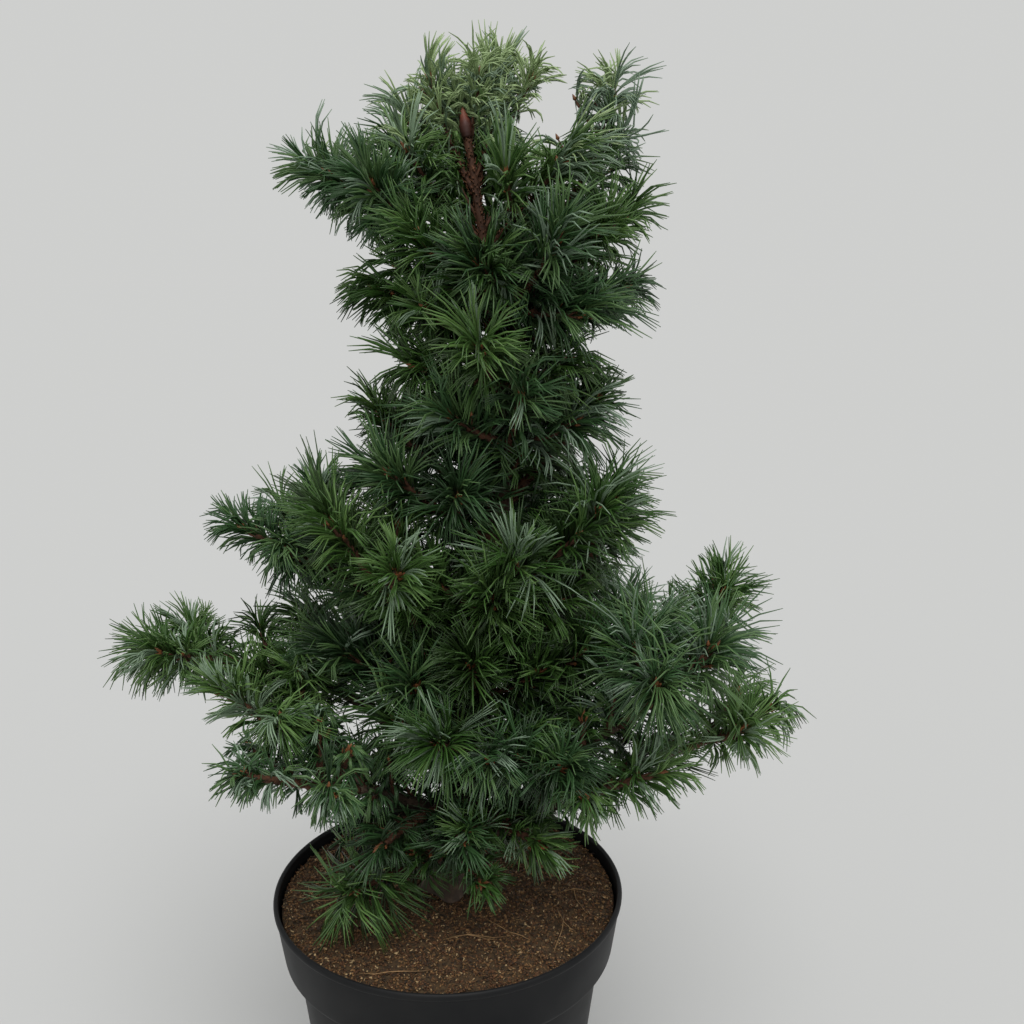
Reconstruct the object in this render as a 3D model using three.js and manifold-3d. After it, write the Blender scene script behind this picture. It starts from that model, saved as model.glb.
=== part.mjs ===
// A young Japanese white pine in a black nursery pot: pot, bark mulch, trunk, boughs and masses of needles.
// Millimetres, +Z up. The origin is the centre of the pot's underside; -Y is the side that is looked at.
// Azimuths turn from +X (right) towards +Y (back), so 180 is left and 270 is the front.
import * as THREE from "three";
import { mergeVertices } from "three/addons/utils/BufferGeometryUtils.js";
import Module from "manifold-3d";

const wasm = await Module();
wasm.setup();

// Driving dimensions.
const GAP = 0.3; // clearance between neighbouring solids
const POT = { rimRadius: 140, collarRadius: 132, bodyRadius: 122, baseRadius: 101, height: 225, around: 30 };
const COLLAR = { height: 46, step: 9, wall: 2.2, lip: 3.2 };
const FOOT = { plate: 70, slope: 3, ringFrom: 91, ringTo: 97, lift: 4, floor: 3, edge: 2 };
const SOIL = { top: 215, mound: 5, flat: 34, rings: 4, around: 24, clearance: 1.1, edgeRoom: 3 };
const CRUMB = { height: 1.6, alongX: 0.19, alongY: 0.23, shift: 1.3 }; // the mulch's uneven top
const TRUNK = { top: 809, bow: 42, bowTurns: 0.43, wave: 7, foot: 13, tip: 4.2, taper: 0.85, sides: 12 };
const FLARE = { radius: 10, height: 15, buttresses: 4, depth: 0.2, fade: 24, turn: 0.6 };
const BUD = { length: 20, swell: 6.4, widest: 0.35, point: 0.7 };
const BOUGH = { root: 5.6, tip: 3.2, seat: 0.4, sides: 6, steps: 4, lowest: 1.12, highest: 0.86 };
const BOUGH_COLLAR = { swell: 0.3, fade: 9 };
const SHOOT = { length: 58, bare: 0.22, root: 2.9, tip: 2.5, bud: 0.6, shoulder: 0.93, sides: 3, rows: 4 };
const NEEDLE = { length: 50, footSpread: 72, tipSpread: 22, droop: 0.1, least: 0.5, wander: 0.07, tip: 0.3 };

// Boughs: where each leaves the trunk, how far out and up its tip lies, and how deep it sags on the way.
const BOUGHS = {
  low_left_far: { height: 300, azimuth: 177, reach: 164, climb: 106, sag: -44 },
  low_left_front: { height: 276, azimuth: 222, reach: 96, climb: 60, sag: -10 },
  low_left_side: { height: 256, azimuth: 194, reach: 100, climb: 86, sag: -4 },
  low_right_under: { height: 260, azimuth: 328, reach: 100, climb: 62, sag: 0 },
  low_right_front: { height: 300, azimuth: 334, reach: 126, climb: 82, sag: 10 },
  low_right_far: { height: 282, azimuth: 353, reach: 172, climb: 66, sag: 6 },
  low_right_up: { height: 326, azimuth: 8, reach: 158, climb: 88, sag: 24 },
  low_back_right: { height: 300, azimuth: 50, reach: 104, climb: 70, sag: 8 },
  low_back: { height: 276, azimuth: 96, reach: 104, climb: 62, sag: 2 },
  low_back_left: { height: 316, azimuth: 138, reach: 94, climb: 66, sag: 4 },
  mid_left: { height: 416, azimuth: 186, reach: 90, climb: 58, sag: -8 },
  mid_left_front: { height: 392, azimuth: 216, reach: 72, climb: 74, sag: 2 },
  mid_right: { height: 404, azimuth: 345, reach: 66, climb: 68, sag: 14 },
  mid_back: { height: 412, azimuth: 86, reach: 74, climb: 50, sag: 4 },
};

// The mass at the end of each bough: how long its stem runs on, how many shoots it bears, how wide they
// fan and by how many degrees they lift.
const BOUGH_MASSES = {
  low_left_far: { stem: 26, shoots: 3, fan: 40, lift: -8 },
  low_left_front: { stem: 46, shoots: 6, fan: 64, lift: -4 },
  low_left_side: { stem: 44, shoots: 5, fan: 62, lift: -6 },
  low_right_under: { stem: 28, shoots: 4, fan: 58, lift: -14 },
  low_right_front: { stem: 44, shoots: 6, fan: 58, lift: 6 },
  low_right_far: { stem: 18, shoots: 3, fan: 44, lift: 4 },
  low_right_up: { stem: 10, shoots: 2, fan: 38, lift: 18 },
  low_back_right: { stem: 40, shoots: 4, fan: 58, lift: 4 },
  low_back: { stem: 46, shoots: 5, fan: 62, lift: 0 },
  low_back_left: { stem: 44, shoots: 4, fan: 58, lift: 0 },
  mid_left: { stem: 48, shoots: 5, fan: 58, lift: -4 },
  mid_left_front: { stem: 36, shoots: 4, fan: 62, lift: 2 },
  mid_right: { stem: 24, shoots: 4, fan: 42, lift: 12 },
  mid_back: { stem: 48, shoots: 5, fan: 62, lift: 2 },
};

// Masses that sit on the trunk itself, with no bough: the stem leaves at a height, an azimuth and a rise.
const TRUNK_TUFTS = {
  pot_left: { height: 246, azimuth: 228, rise: 22, stem: 52, shoots: 1, fan: 40, lift: -34 },
  foot_front: { height: 264, azimuth: 282, rise: 16, stem: 40, shoots: 2, fan: 60, lift: -24 },
  foot_left: { height: 300, azimuth: 236, rise: 8, stem: 52, shoots: 3, fan: 62, lift: -20 },
  foot_right: { height: 290, azimuth: 306, rise: 10, stem: 48, shoots: 3, fan: 62, lift: -16 },
  low_front_left: { height: 338, azimuth: 258, rise: 26, stem: 60, shoots: 3, fan: 66, lift: -8 },
  low_front_right: { height: 322, azimuth: 304, rise: 20, stem: 74, shoots: 3, fan: 64, lift: -4 },
  low_centre: { height: 372, azimuth: 266, rise: 38, stem: 42, shoots: 3, fan: 60, lift: -2 },
  low_centre_right: { height: 366, azimuth: 330, rise: 34, stem: 60, shoots: 3, fan: 58, lift: 0 },
  mid_low_left: { height: 356, azimuth: 200, rise: 34, stem: 76, shoots: 3, fan: 56, lift: -4 },
  mid_centre: { height: 446, azimuth: 272, rise: 24, stem: 40, shoots: 3, fan: 62, lift: 0 },
  mid_right_front: { height: 458, azimuth: 316, rise: 34, stem: 52, shoots: 3, fan: 54, lift: 4 },
  mid_high_left: { height: 506, azimuth: 214, rise: 30, stem: 56, shoots: 4, fan: 62, lift: 4 },
  waist_left: { height: 536, azimuth: 178, rise: 28, stem: 58, shoots: 2, fan: 46, lift: 14 },
  waist_right: { height: 536, azimuth: 10, rise: 40, stem: 62, shoots: 3, fan: 42, lift: 18 },
  waist_front: { height: 566, azimuth: 284, rise: 38, stem: 34, shoots: 3, fan: 62, lift: 2 },
  waist_back: { height: 540, azimuth: 96, rise: 36, stem: 50, shoots: 4, fan: 60, lift: 6 },
  upper_left_low: { height: 644, azimuth: 184, rise: 36, stem: 42, shoots: 4, fan: 58, lift: -18 },
  upper_right_low: { height: 638, azimuth: 352, rise: 34, stem: 50, shoots: 4, fan: 54, lift: -12 },
  upper_front: { height: 614, azimuth: 262, rise: 26, stem: 38, shoots: 3, fan: 64, lift: -2 },
  upper_front_left: { height: 668, azimuth: 228, rise: 36, stem: 38, shoots: 3, fan: 60, lift: 2 },
  upper_front_right: { height: 664, azimuth: 304, rise: 34, stem: 44, shoots: 3, fan: 58, lift: 2 },
  upper_right: { height: 674, azimuth: 4, rise: 32, stem: 64, shoots: 4, fan: 54, lift: 4 },
  upper_back: { height: 636, azimuth: 84, rise: 36, stem: 50, shoots: 5, fan: 60, lift: 4 },
  top_left: { height: 702, azimuth: 182, rise: 30, stem: 74, shoots: 3, fan: 48, lift: -2 },
  top_left_up: { height: 722, azimuth: 160, rise: 50, stem: 48, shoots: 3, fan: 44, lift: 8 },
  top_front_right: { height: 718, azimuth: 318, rise: 38, stem: 36, shoots: 2, fan: 50, lift: -6 },
  top_right: { height: 704, azimuth: 6, rise: 28, stem: 112, shoots: 1, fan: 40, lift: 48 },
  crown_left: { height: 756, azimuth: 164, rise: 58, stem: 32, shoots: 3, fan: 44, lift: 12 },
  crown_right: { height: 760, azimuth: 60, rise: 64, stem: 26, shoots: 3, fan: 44, lift: 6 },
};

// Helpers.
const degrees = THREE.MathUtils.degToRad;
const lerp = THREE.MathUtils.lerp;
const clamp = THREE.MathUtils.clamp;
const heading = (azimuth, rise) =>
  new THREE.Vector3(
    Math.cos(degrees(azimuth)) * Math.cos(degrees(rise)),
    Math.sin(degrees(azimuth)) * Math.cos(degrees(rise)),
    Math.sin(degrees(rise)),
  );
const UP = new THREE.Vector3(0, 0, 1);

// A repeatable stream of numbers from 0 to 1.
const STREAM = { scatter: 2654435761, factor: 1664525, step: 1013904223, size: 2 ** 32 };
function seeded(seed) {
  let state = Math.imul(seed, STREAM.scatter) >>> 0;
  return () => {
    state = (Math.imul(state, STREAM.factor) + STREAM.step) >>> 0;
    return state / STREAM.size;
  };
}

// The geometry with only its corners, each of them once.
function mergedBare(geometry) {
  const bare = geometry.clone();
  bare.deleteAttribute("normal");
  bare.deleteAttribute("uv");
  return mergeVertices(bare, 1e-3);
}

function trianglesOf({ index }) {
  return Array.from({ length: index.count / 3 }, (_, i) => [...index.array.slice(3 * i, 3 * i + 3)]);
}

function solidOf(geometry) {
  const merged = mergedBare(geometry);
  return new wasm.Manifold(
    new wasm.Mesh({
      numProp: 3,
      vertProperties: merged.attributes.position.array,
      triVerts: new Uint32Array(merged.index.array),
    }),
  );
}

// Cutting can leave a loose scrap, which is dropped.
function largest(solid) {
  return solid.decompose().reduce((best, body) => (body.volume() > best.volume() ? body : best));
}

function geometryOf(solid) {
  const { vertProperties, triVerts, numProp, numVert } = solid.getMesh();
  const positions = new Float32Array(numVert * 3);
  for (let i = 0; i < numVert; i++) {
    positions.set(vertProperties.subarray(i * numProp, i * numProp + 3), i * 3);
  }
  const geometry = new THREE.BufferGeometry();
  geometry.setAttribute("position", new THREE.BufferAttribute(positions, 3));
  geometry.setIndex(new THREE.BufferAttribute(new Uint32Array(triVerts), 1));
  geometry.computeVertexNormals();
  return geometry;
}

// A closed unit cylinder bent along a curve: its rings lie at the given shares of the length.
function limbGeometry(curve, radiusAt, sides, shares) {
  const steps = shares.length - 1;
  const unit = new THREE.CylinderGeometry(1, 1, 1, sides, steps);
  const chord = curve.getPoint(1).sub(curve.getPoint(0));
  const across = Math.abs(chord.z) > Math.abs(chord.x) ? new THREE.Vector3(1, 0, 0) : UP;
  const rings = shares.map((share) => {
    const along = curve.getTangent(share);
    const side = new THREE.Vector3().crossVectors(along, across).normalize();
    return { centre: curve.getPoint(share), radius: radiusAt(share), side, top: along.clone().cross(side) };
  });
  const at = unit.attributes.position;
  const halfSide = Math.PI / sides; // each ring is turned half a side from the one before, for even triangles
  for (let i = 0; i < at.count; i++) {
    const row = Math.round((at.getY(i) + 0.5) * steps);
    const { centre, radius, side, top } = rings[row];
    const around = Math.atan2(at.getX(i), at.getZ(i)) - row * halfSide;
    const out = Math.hypot(at.getX(i), at.getZ(i)) * radius;
    const place = centre.clone().addScaledVector(side, Math.cos(around) * out);
    place.addScaledVector(top, Math.sin(around) * out);
    at.setXYZ(i, place.x, place.y, place.z);
  }
  return unit;
}

const evenShares = (steps) => Array.from({ length: steps + 1 }, (_, i) => i / steps);

// The space that is already taken, as round-ended rods.
const taken = [];
const [TRUNK_RODS, BOUGH_RODS, SHOOT_RODS] = [24, 8, 6];
const rod = (a, b, ra, rb, owner) => ({ a, b, ra, rb, owner });

function limbRods(curve, radiusAt, owner, pieces) {
  return evenShares(pieces)
    .slice(1)
    .map((to) => {
      const from = to - 1 / pieces;
      return rod(curve.getPoint(from), curve.getPoint(to), radiusAt(from), radiusAt(to), owner);
    });
}

// The least room between two rods, allowing for their taper.
function roomBetween(p, q) {
  const alongP = p.b.clone().sub(p.a);
  const alongQ = q.b.clone().sub(q.a);
  const apart = p.a.clone().sub(q.a);
  const [pp, qq, pq] = [alongP.lengthSq(), alongQ.lengthSq(), alongP.dot(alongQ)];
  const [toP, toQ] = [alongP.dot(apart), alongQ.dot(apart)];
  const skew = pp * qq - pq * pq;
  let s = skew > 1e-9 ? clamp((pq * toQ - toP * qq) / skew, 0, 1) : 0;
  let t = (pq * s + toQ) / qq;
  if (t < 0 || t > 1) {
    t = clamp(t, 0, 1);
    s = clamp((pq * t - toP) / pp, 0, 1);
  }
  const distance = apart.addScaledVector(alongP, s).addScaledVector(alongQ, -t).length();
  return distance - lerp(p.ra, p.rb, s) - lerp(q.ra, q.rb, t);
}

const NEEDLE_ROOM = 0.5; // the least room that a needle leaves to anything it isn't fused to
const RIM_ROOM = { out: 16, above: 4 };
const SOIL_ROOM = 3;
const WIDEST = 12; // more than the radii of any two rods together

function isAbovePot({ b }) {
  if (b.z < SOIL.top + SOIL.mound + SOIL_ROOM) return false;
  return b.z > POT.height + RIM_ROOM.above || Math.hypot(b.x, b.y) < POT.rimRadius - RIM_ROOM.out;
}

function isFree(candidate, others, room) {
  const reach = candidate.a.distanceTo(candidate.b) + WIDEST;
  return others.every((other) => {
    const near = reach + other.a.distanceTo(other.b);
    if (candidate.a.distanceToSquared(other.a) > near * near) return true;
    return roomBetween(candidate, other) > room;
  });
}

// Pot.
// The inside wall from the floor up to the lip, as radius and height.
const COLLAR_FOOT = POT.height - COLLAR.height;
const LIP_CHAMFER = 0.7;
const POT_INSIDE = [
  [POT.baseRadius - COLLAR.wall, FOOT.lift + FOOT.floor],
  [POT.bodyRadius - COLLAR.wall, COLLAR_FOOT - COLLAR.step],
  [POT.collarRadius - COLLAR.wall, COLLAR_FOOT],
  [POT.rimRadius - COLLAR.lip - LIP_CHAMFER, POT.height - COLLAR.lip],
];

// The profile runs across the foot, up the outside, over the rolled lip and back down the inside.
function potProfile() {
  const { rimRadius, collarRadius, bodyRadius, baseRadius, height } = POT;
  const outside = [
    [0, 0],
    [FOOT.plate, 0],
    [FOOT.plate + FOOT.slope, FOOT.lift],
    [FOOT.ringFrom, FOOT.lift],
    [FOOT.ringTo, 0],
    [baseRadius - FOOT.edge, 0],
    [baseRadius, FOOT.edge],
    [bodyRadius, COLLAR_FOOT - COLLAR.step],
    [collarRadius, COLLAR_FOOT],
    [rimRadius - 2 * LIP_CHAMFER, height - COLLAR.lip * 2],
    [rimRadius, height - COLLAR.lip],
    [rimRadius - LIP_CHAMFER, height],
    [rimRadius - COLLAR.lip, height],
  ];
  const floorCentre = [0, FOOT.lift + FOOT.floor];
  return [...outside, ...POT_INSIDE.toReversed(), floorCentre].map(([r, z]) => new THREE.Vector2(r, z));
}

// A lathe turns about Y, so it is stood up to turn about Z.
function turned(profile, segments) {
  return new THREE.LatheGeometry(profile, segments).rotateX(Math.PI / 2);
}

// Mulch.
// A plug that fills the pot with a clearance all round, its top a low uneven mound, level at the trunk.
function soilGeometry() {
  const side = POT_INSIDE.slice(0, 3).map(([r, z]) => [r - SOIL.clearance, z + GAP]);
  const edge = POT.rimRadius - COLLAR.lip - SOIL.edgeRoom;
  const profile = [[0, side[0][1]], ...side, [edge, SOIL.top]];
  for (let i = 1; i <= SOIL.rings; i++) {
    const r = lerp(edge, SOIL.flat, i / SOIL.rings);
    profile.push([r, SOIL.top + SOIL.mound * (1 - (r - SOIL.flat) / (edge - SOIL.flat))]);
  }
  profile.push([0, SOIL.top + SOIL.mound]);
  const geometry = turned(profile.map(([r, z]) => new THREE.Vector2(r, z)), SOIL.around);
  const at = geometry.attributes.position;
  for (let i = 0; i < at.count; i++) {
    const r = Math.hypot(at.getX(i), at.getY(i));
    const isLoose = at.getZ(i) > SOIL.top + GAP && r > SOIL.flat + GAP;
    if (!isLoose) continue;
    const ripple = Math.sin(at.getX(i) * CRUMB.alongX + CRUMB.shift) * Math.cos(at.getY(i) * CRUMB.alongY);
    at.setZ(i, at.getZ(i) + CRUMB.height * ripple);
  }
  return geometry;
}

// Trunk.
const groundLevel = SOIL.top + SOIL.mound + GAP;
class TrunkLine extends THREE.Curve {
  getPoint(t, target = new THREE.Vector3()) {
    const x = TRUNK.bow * Math.sin(TRUNK.bowTurns * 2 * Math.PI * t);
    const y = TRUNK.wave * Math.sin(2 * Math.PI * t);
    return target.set(x, y, lerp(groundLevel, TRUNK.top, t));
  }
}
const trunkLine = new TrunkLine();
const trunkShare = (z) => (z - groundLevel) / (TRUNK.top - groundLevel);
const trunkLength = TRUNK.top - groundLevel;
const budFrom = 1 - BUD.length / trunkLength;

// The radius falls evenly from foot to bud, with a flare at the ground and a swelling at the bud.
function trunkRadius(t) {
  if (t > budFrom) {
    const bud = (t - budFrom) / (1 - budFrom);
    return bud < BUD.widest
      ? lerp(TRUNK.tip, BUD.swell, bud / BUD.widest)
      : lerp(BUD.swell, BUD.point, (bud - BUD.widest) / (1 - BUD.widest));
  }
  const flare = FLARE.radius * Math.exp((-t * trunkLength) / FLARE.height);
  return lerp(TRUNK.foot, TRUNK.tip, Math.pow(t, TRUNK.taper)) + flare;
}

// Level rings, so that the foot is a flat cut, with buttress roots swelling out of the flare.
const BUD_RINGS = [0, BUD.widest, 2 * BUD.widest, 1].map((share) => lerp(budFrom, 1, share));
const FLARE_RINGS = [0, 0.012, 0.03, 0.055, 0.1];
const STEM_RINGS = [0.18, 0.28, 0.38, 0.48, 0.58, 0.68, 0.78, 0.88];
const TRUNK_RINGS = [...FLARE_RINGS, ...STEM_RINGS, ...BUD_RINGS];
function trunkGeometry(grown = 0) {
  const steps = TRUNK_RINGS.length - 1;
  const unit = new THREE.CylinderGeometry(1, 1, 1, TRUNK.sides, steps);
  const at = unit.attributes.position;
  for (let i = 0; i < at.count; i++) {
    const share = TRUNK_RINGS[Math.round((at.getY(i) + 0.5) * steps)];
    const around = Math.atan2(at.getX(i), at.getZ(i));
    const swelling = FLARE.depth * Math.exp(-share * FLARE.fade);
    const buttress = 1 + swelling * Math.cos(FLARE.buttresses * around + FLARE.turn);
    const out = Math.hypot(at.getX(i), at.getZ(i)) * (trunkRadius(share) * buttress + grown);
    const centre = trunkLine.getPoint(share);
    const below = grown && share === 0 ? 2 * GAP : 0;
    at.setXYZ(i, centre.x + Math.sin(around) * out, centre.y + Math.cos(around) * out, centre.z - below);
  }
  const index = unit.index.array;
  for (let i = 0; i < index.length; i += 3) {
    [index[i + 1], index[i + 2]] = [index[i + 2], index[i + 1]]; // so that the faces look out
  }
  return unit;
}

// Boughs.
// Higher boughs are slimmer, and each swells a little where it leaves the trunk.
function boughRadius({ height }) {
  const size = lerp(BOUGH.lowest, BOUGH.highest, trunkShare(height));
  return (t) => {
    const swelling = 1 + BOUGH_COLLAR.swell * Math.exp(-t * BOUGH_COLLAR.fade);
    return lerp(BOUGH.root, BOUGH.tip, t) * size * swelling;
  };
}

// The bough's line starts inside the trunk and is bent down by its sag.
function boughLine({ height, azimuth, reach, climb, sag }) {
  const share = trunkShare(height);
  const outward = heading(azimuth, 0);
  const centre = trunkLine.getPoint(share);
  const from = centre.clone().addScaledVector(outward, trunkRadius(share) * BOUGH.seat);
  const to = centre.clone().addScaledVector(outward, reach).addScaledVector(UP, climb);
  const bend = from.clone().lerp(to, 0.5).addScaledVector(UP, -sag);
  return new THREE.QuadraticBezierCurve3(from, bend, to);
}

// Shoots and needles.
// A line that leaves a point in one direction and turns upwards by lift degrees on its way.
function risingLine(from, direction, length, lift) {
  const side = new THREE.Vector3().crossVectors(direction, UP);
  if (side.lengthSq() < 1e-4) side.set(1, 0, 0);
  const after = direction.clone().applyAxisAngle(side.normalize(), degrees(lift));
  const bend = from.clone().addScaledVector(direction, length / 2);
  return new THREE.QuadraticBezierCurve3(from, bend, bend.clone().addScaledVector(after, length / 2));
}

// The stem's own end is the first shoot.
const SHOOT_LIFT = { stem: 7, side: 18 }; // degrees that a shoot turns up of itself
function stemShoot({ from, along, plan, root, name }) {
  const length = plan.stem + SHOOT.length;
  const line = risingLine(from, along, length, plan.lift + SHOOT_LIFT.stem);
  return { line, bare: (plan.stem + SHOOT.length * SHOOT.bare) / length, root, owner: name + "/0" };
}

// The others leave the stem to the right, to the left and on top, in turn, the outermost first. A shoot
// that would touch another limb is rolled round the stem, and left out if nowhere is free.
const ROLLS = [-8, 188, 90, 40, 140, 270];
const TURNS_TRIED = [0, 35, -35, 70];
const BRANCHING = { outermost: 0.94, spacing: 0.5, upward: 0.22, roll: 24, fan: 0.3, length: 0.28 };
const LIMB_ROOM = 1.2; // the least room between one mass's twigs and any other limb
function sideShoot(mass, k, occupied) {
  const { fan, lift, shoots, stem } = mass.plan;
  const vary = (spread) => spread * (mass.random() - 0.5);
  const main = mass.parts[0].line;
  const back = BRANCHING.spacing * ((k - 1) / Math.max(1, shoots - 1));
  const share = (stem * (BRANCHING.outermost - back)) / (stem + SHOOT.length);
  const along = main.getTangent(share);
  const side = new THREE.Vector3().crossVectors(along, UP).normalize();
  const top = new THREE.Vector3().crossVectors(side, along);
  const roll = ROLLS[(k - 1) % ROLLS.length] + vary(BRANCHING.roll);
  const spread = degrees(fan * (1 + vary(BRANCHING.fan)));
  const length = SHOOT.length * (1 + vary(BRANCHING.length));
  for (const turn of TURNS_TRIED) {
    const angle = degrees(roll + turn);
    const outward = side.clone().multiplyScalar(Math.cos(angle));
    outward.addScaledVector(top, Math.sin(angle) + BRANCHING.upward).normalize();
    const leaves = along.clone().multiplyScalar(Math.cos(spread)).addScaledVector(outward, Math.sin(spread));
    const line = risingLine(main.getPoint(share), leaves, length, SHOOT_LIFT.side + lift / 2);
    const shoot = { line, bare: SHOOT.bare, root: SHOOT.root, owner: `${mass.name}/${k}` };
    const isClear = (piece) => isAbovePot(piece) && isFree(piece, occupied, LIMB_ROOM);
    if (shootRods(shoot).every(isClear)) return shoot;
  }
  return null;
}

// The core tapers to its shoulder and closes in a small bud.
function shootRadius({ root }) {
  const { shoulder, tip, bud } = SHOOT;
  return (t) => {
    if (t > shoulder) return lerp(tip, bud, (t - shoulder) / (1 - shoulder));
    return lerp(root, tip, t / shoulder);
  };
}

const shootRods = (shoot) => limbRods(shoot.line, shootRadius(shoot), shoot.owner, SHOOT_RODS);

// A slim core whose faces in the needle zone are each drawn out into one needle.
const LONG_BARE = 0.4; // a bare part longer than this share takes a ring at its middle
function shootGeometry(shoot, random) {
  const { line, bare, owner } = shoot;
  const zone = evenShares(SHOOT.rows).map((share) => lerp(bare, SHOOT.shoulder, share));
  const bareRings = bare > LONG_BARE ? [0, bare / 2] : [0];
  const core = limbGeometry(line, shootRadius(shoot), SHOOT.sides, [...bareRings, ...zone, 1]);
  const merged = mergedBare(core);
  const at = merged.attributes.position;
  const points = Array.from({ length: at.count }, (_, i) => new THREE.Vector3().fromBufferAttribute(at, i));
  const others = taken.filter((other) => other.owner !== owner);
  const ownNeedles = [];
  const faces = [];
  for (const face of trianglesOf(merged)) {
    const middle = face.reduce((sum, j) => sum.add(points[j]), new THREE.Vector3()).divideScalar(3);
    const wide = NEEDLE_BODY * Math.max(...face.map((j) => points[j].distanceTo(middle)));
    const needle = { middle, wide, ...needlePlan(line, bare, middle, random) };
    const tip = needle.inZone ? longestFree(needle, others, ownNeedles) : null;
    if (!tip) {
      faces.push(face);
      continue;
    }
    const apex = points.push(tip) - 1;
    faces.push([face[0], face[1], apex], [face[1], face[2], apex], [face[2], face[0], apex]);
    taken.push(rod(middle, tip, wide, NEEDLE.tip, owner));
    ownNeedles.push(outerPart(middle, tip, wide));
  }
  const geometry = new THREE.BufferGeometry().setFromPoints(points);
  geometry.setIndex(faces.flat());
  return geometry;
}

// Needles stand well out at the foot of the shoot and close up round its bud.
const NEEDLE_BODY = 0.8; // a needle's radius as a share of its foot's widest reach
const NEEDLE_SIZES = { least: 0.88, spread: 0.22 };
const ZONE_EDGE = 0.01;
function needlePlan(line, bare, middle, random) {
  const size = NEEDLE.length * (NEEDLE_SIZES.least + NEEDLE_SIZES.spread * random());
  const wander = new THREE.Vector3(random() - 0.5, random() - 0.5, random() - 0.5);
  const share = nearestShare(line, middle);
  const along = line.getTangent(share);
  const outward = middle.clone().sub(line.getPoint(share));
  outward.addScaledVector(along, -outward.dot(along)).normalize();
  const spread = degrees(lerp(NEEDLE.footSpread, NEEDLE.tipSpread, (share - bare) / (1 - bare)));
  const direction = along.multiplyScalar(Math.cos(spread)).addScaledVector(outward, Math.sin(spread));
  direction.addScaledVector(UP, -NEEDLE.droop).addScaledVector(wander, NEEDLE.wander).normalize();
  return { size, direction, inZone: share > bare + ZONE_EDGE && share < SHOOT.shoulder - ZONE_EDGE };
}

const PLACES_TRIED = 20;
function nearestShare(line, point) {
  const shares = evenShares(PLACES_TRIED);
  const apart = shares.map((share) => line.getPoint(share).distanceToSquared(point));
  return shares[apart.indexOf(Math.min(...apart))];
}

// The outer three quarters of a needle, which keep clear of the needles beside it on its own shoot.
const FUSED_SHARE = 0.25;
function outerPart(middle, tip, wide) {
  return rod(middle.clone().lerp(tip, FUSED_SHARE), tip, wide * (1 - FUSED_SHARE), NEEDLE.tip, "");
}

// The needle's tip at full length, or drawn back until the needle is clear, or none.
const DRAWN_BACK = 0.125;
function longestFree({ middle, direction, size, wide }, others, ownNeedles) {
  for (let share = 1; share >= NEEDLE.least; share -= DRAWN_BACK) {
    const tip = middle.clone().addScaledVector(direction, size * share);
    const whole = rod(middle, tip, wide, NEEDLE.tip, "");
    const isClearOfOwn = isFree(outerPart(middle, tip, wide), ownNeedles, 0);
    if (isClearOfOwn && isAbovePot(whole) && isFree(whole, others, NEEDLE_ROOM)) return tip;
  }
  return null;
}

// Materials.
const material = (color, roughness) => new THREE.MeshStandardMaterial({ color, roughness, metalness: 0 });
const MATERIALS = {
  pot: material(0x1d1f23, 0.5),
  soil: material(0x4a2f1e, 0.95),
  bark: material(0x4d3b2c, 0.85),
  needles: [0x2f5a3c, 0x2a5240, 0x386444].map((color) => material(color, 0.55)),
};

// Assembly.
const pine = new THREE.Group();
pine.name = "japanese_white_pine";
function add(name, geometry, finish) {
  const mesh = new THREE.Mesh(geometry, finish);
  mesh.name = name;
  pine.add(mesh);
}

add("pot", turned(potProfile(), POT.around), MATERIALS.pot);
add("soil", soilGeometry(), MATERIALS.soil);
add("trunk", trunkGeometry(), MATERIALS.bark);
taken.push(...limbRods(trunkLine, trunkRadius, "trunk", TRUNK_RODS));
const trunkWithClearance = solidOf(trunkGeometry(GAP));

const SEEDS = { bough: 11, trunkTuft: 71, needles: 1000 };
const masses = [];
Object.entries(BOUGHS).forEach(([name, bough], i) => {
  const line = boughLine(bough);
  const radiusAt = boughRadius(bough);
  const limb = solidOf(limbGeometry(line, radiusAt, BOUGH.sides, evenShares(BOUGH.steps)));
  add("bough_" + name, geometryOf(largest(limb.subtract(trunkWithClearance))), MATERIALS.bark);
  taken.push(...limbRods(line, radiusAt, "bough_" + name, BOUGH_RODS));
  const along = line.getTangent(1);
  const from = line.getPoint(1).addScaledVector(along, GAP);
  masses.push({ name, plan: BOUGH_MASSES[name], from, along, root: radiusAt(1), seed: SEEDS.bough + i });
});
Object.entries(TRUNK_TUFTS).forEach(([name, plan], i) => {
  const from = trunkLine.getPoint(trunkShare(plan.height));
  const along = heading(plan.azimuth, plan.rise);
  masses.push({ name, plan, from, along, root: BOUGH.tip, seed: SEEDS.trunkTuft + i });
});

// Every stem claims its space first, then every side shoot, and the needles fill what is left.
masses.forEach((mass) => {
  mass.random = seeded(mass.seed);
  mass.parts = [stemShoot(mass)];
  taken.push(...shootRods(mass.parts[0]));
});
masses.forEach((mass) => {
  for (let k = 1; k < mass.plan.shoots; k++) {
    const occupied = taken.filter(({ owner }) => !owner.startsWith(mass.name + "/"));
    const shoot = sideShoot(mass, k, occupied);
    if (!shoot) continue;
    mass.parts.push(shoot);
    taken.push(...shootRods(shoot));
  }
});
masses.forEach((mass, i) => {
  const random = seeded(mass.seed + SEEDS.needles);
  const [first, ...others] = mass.parts.map((shoot) => solidOf(shootGeometry(shoot, random)));
  const fused = others.reduce((whole, part) => whole.add(part), first);
  const clear = largest(fused.subtract(trunkWithClearance));
  add("needles_" + mass.name, geometryOf(clear), MATERIALS.needles[i % MATERIALS.needles.length]);
});

export default pine;
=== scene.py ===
import math
from functools import cache
from typing import NamedTuple

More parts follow.
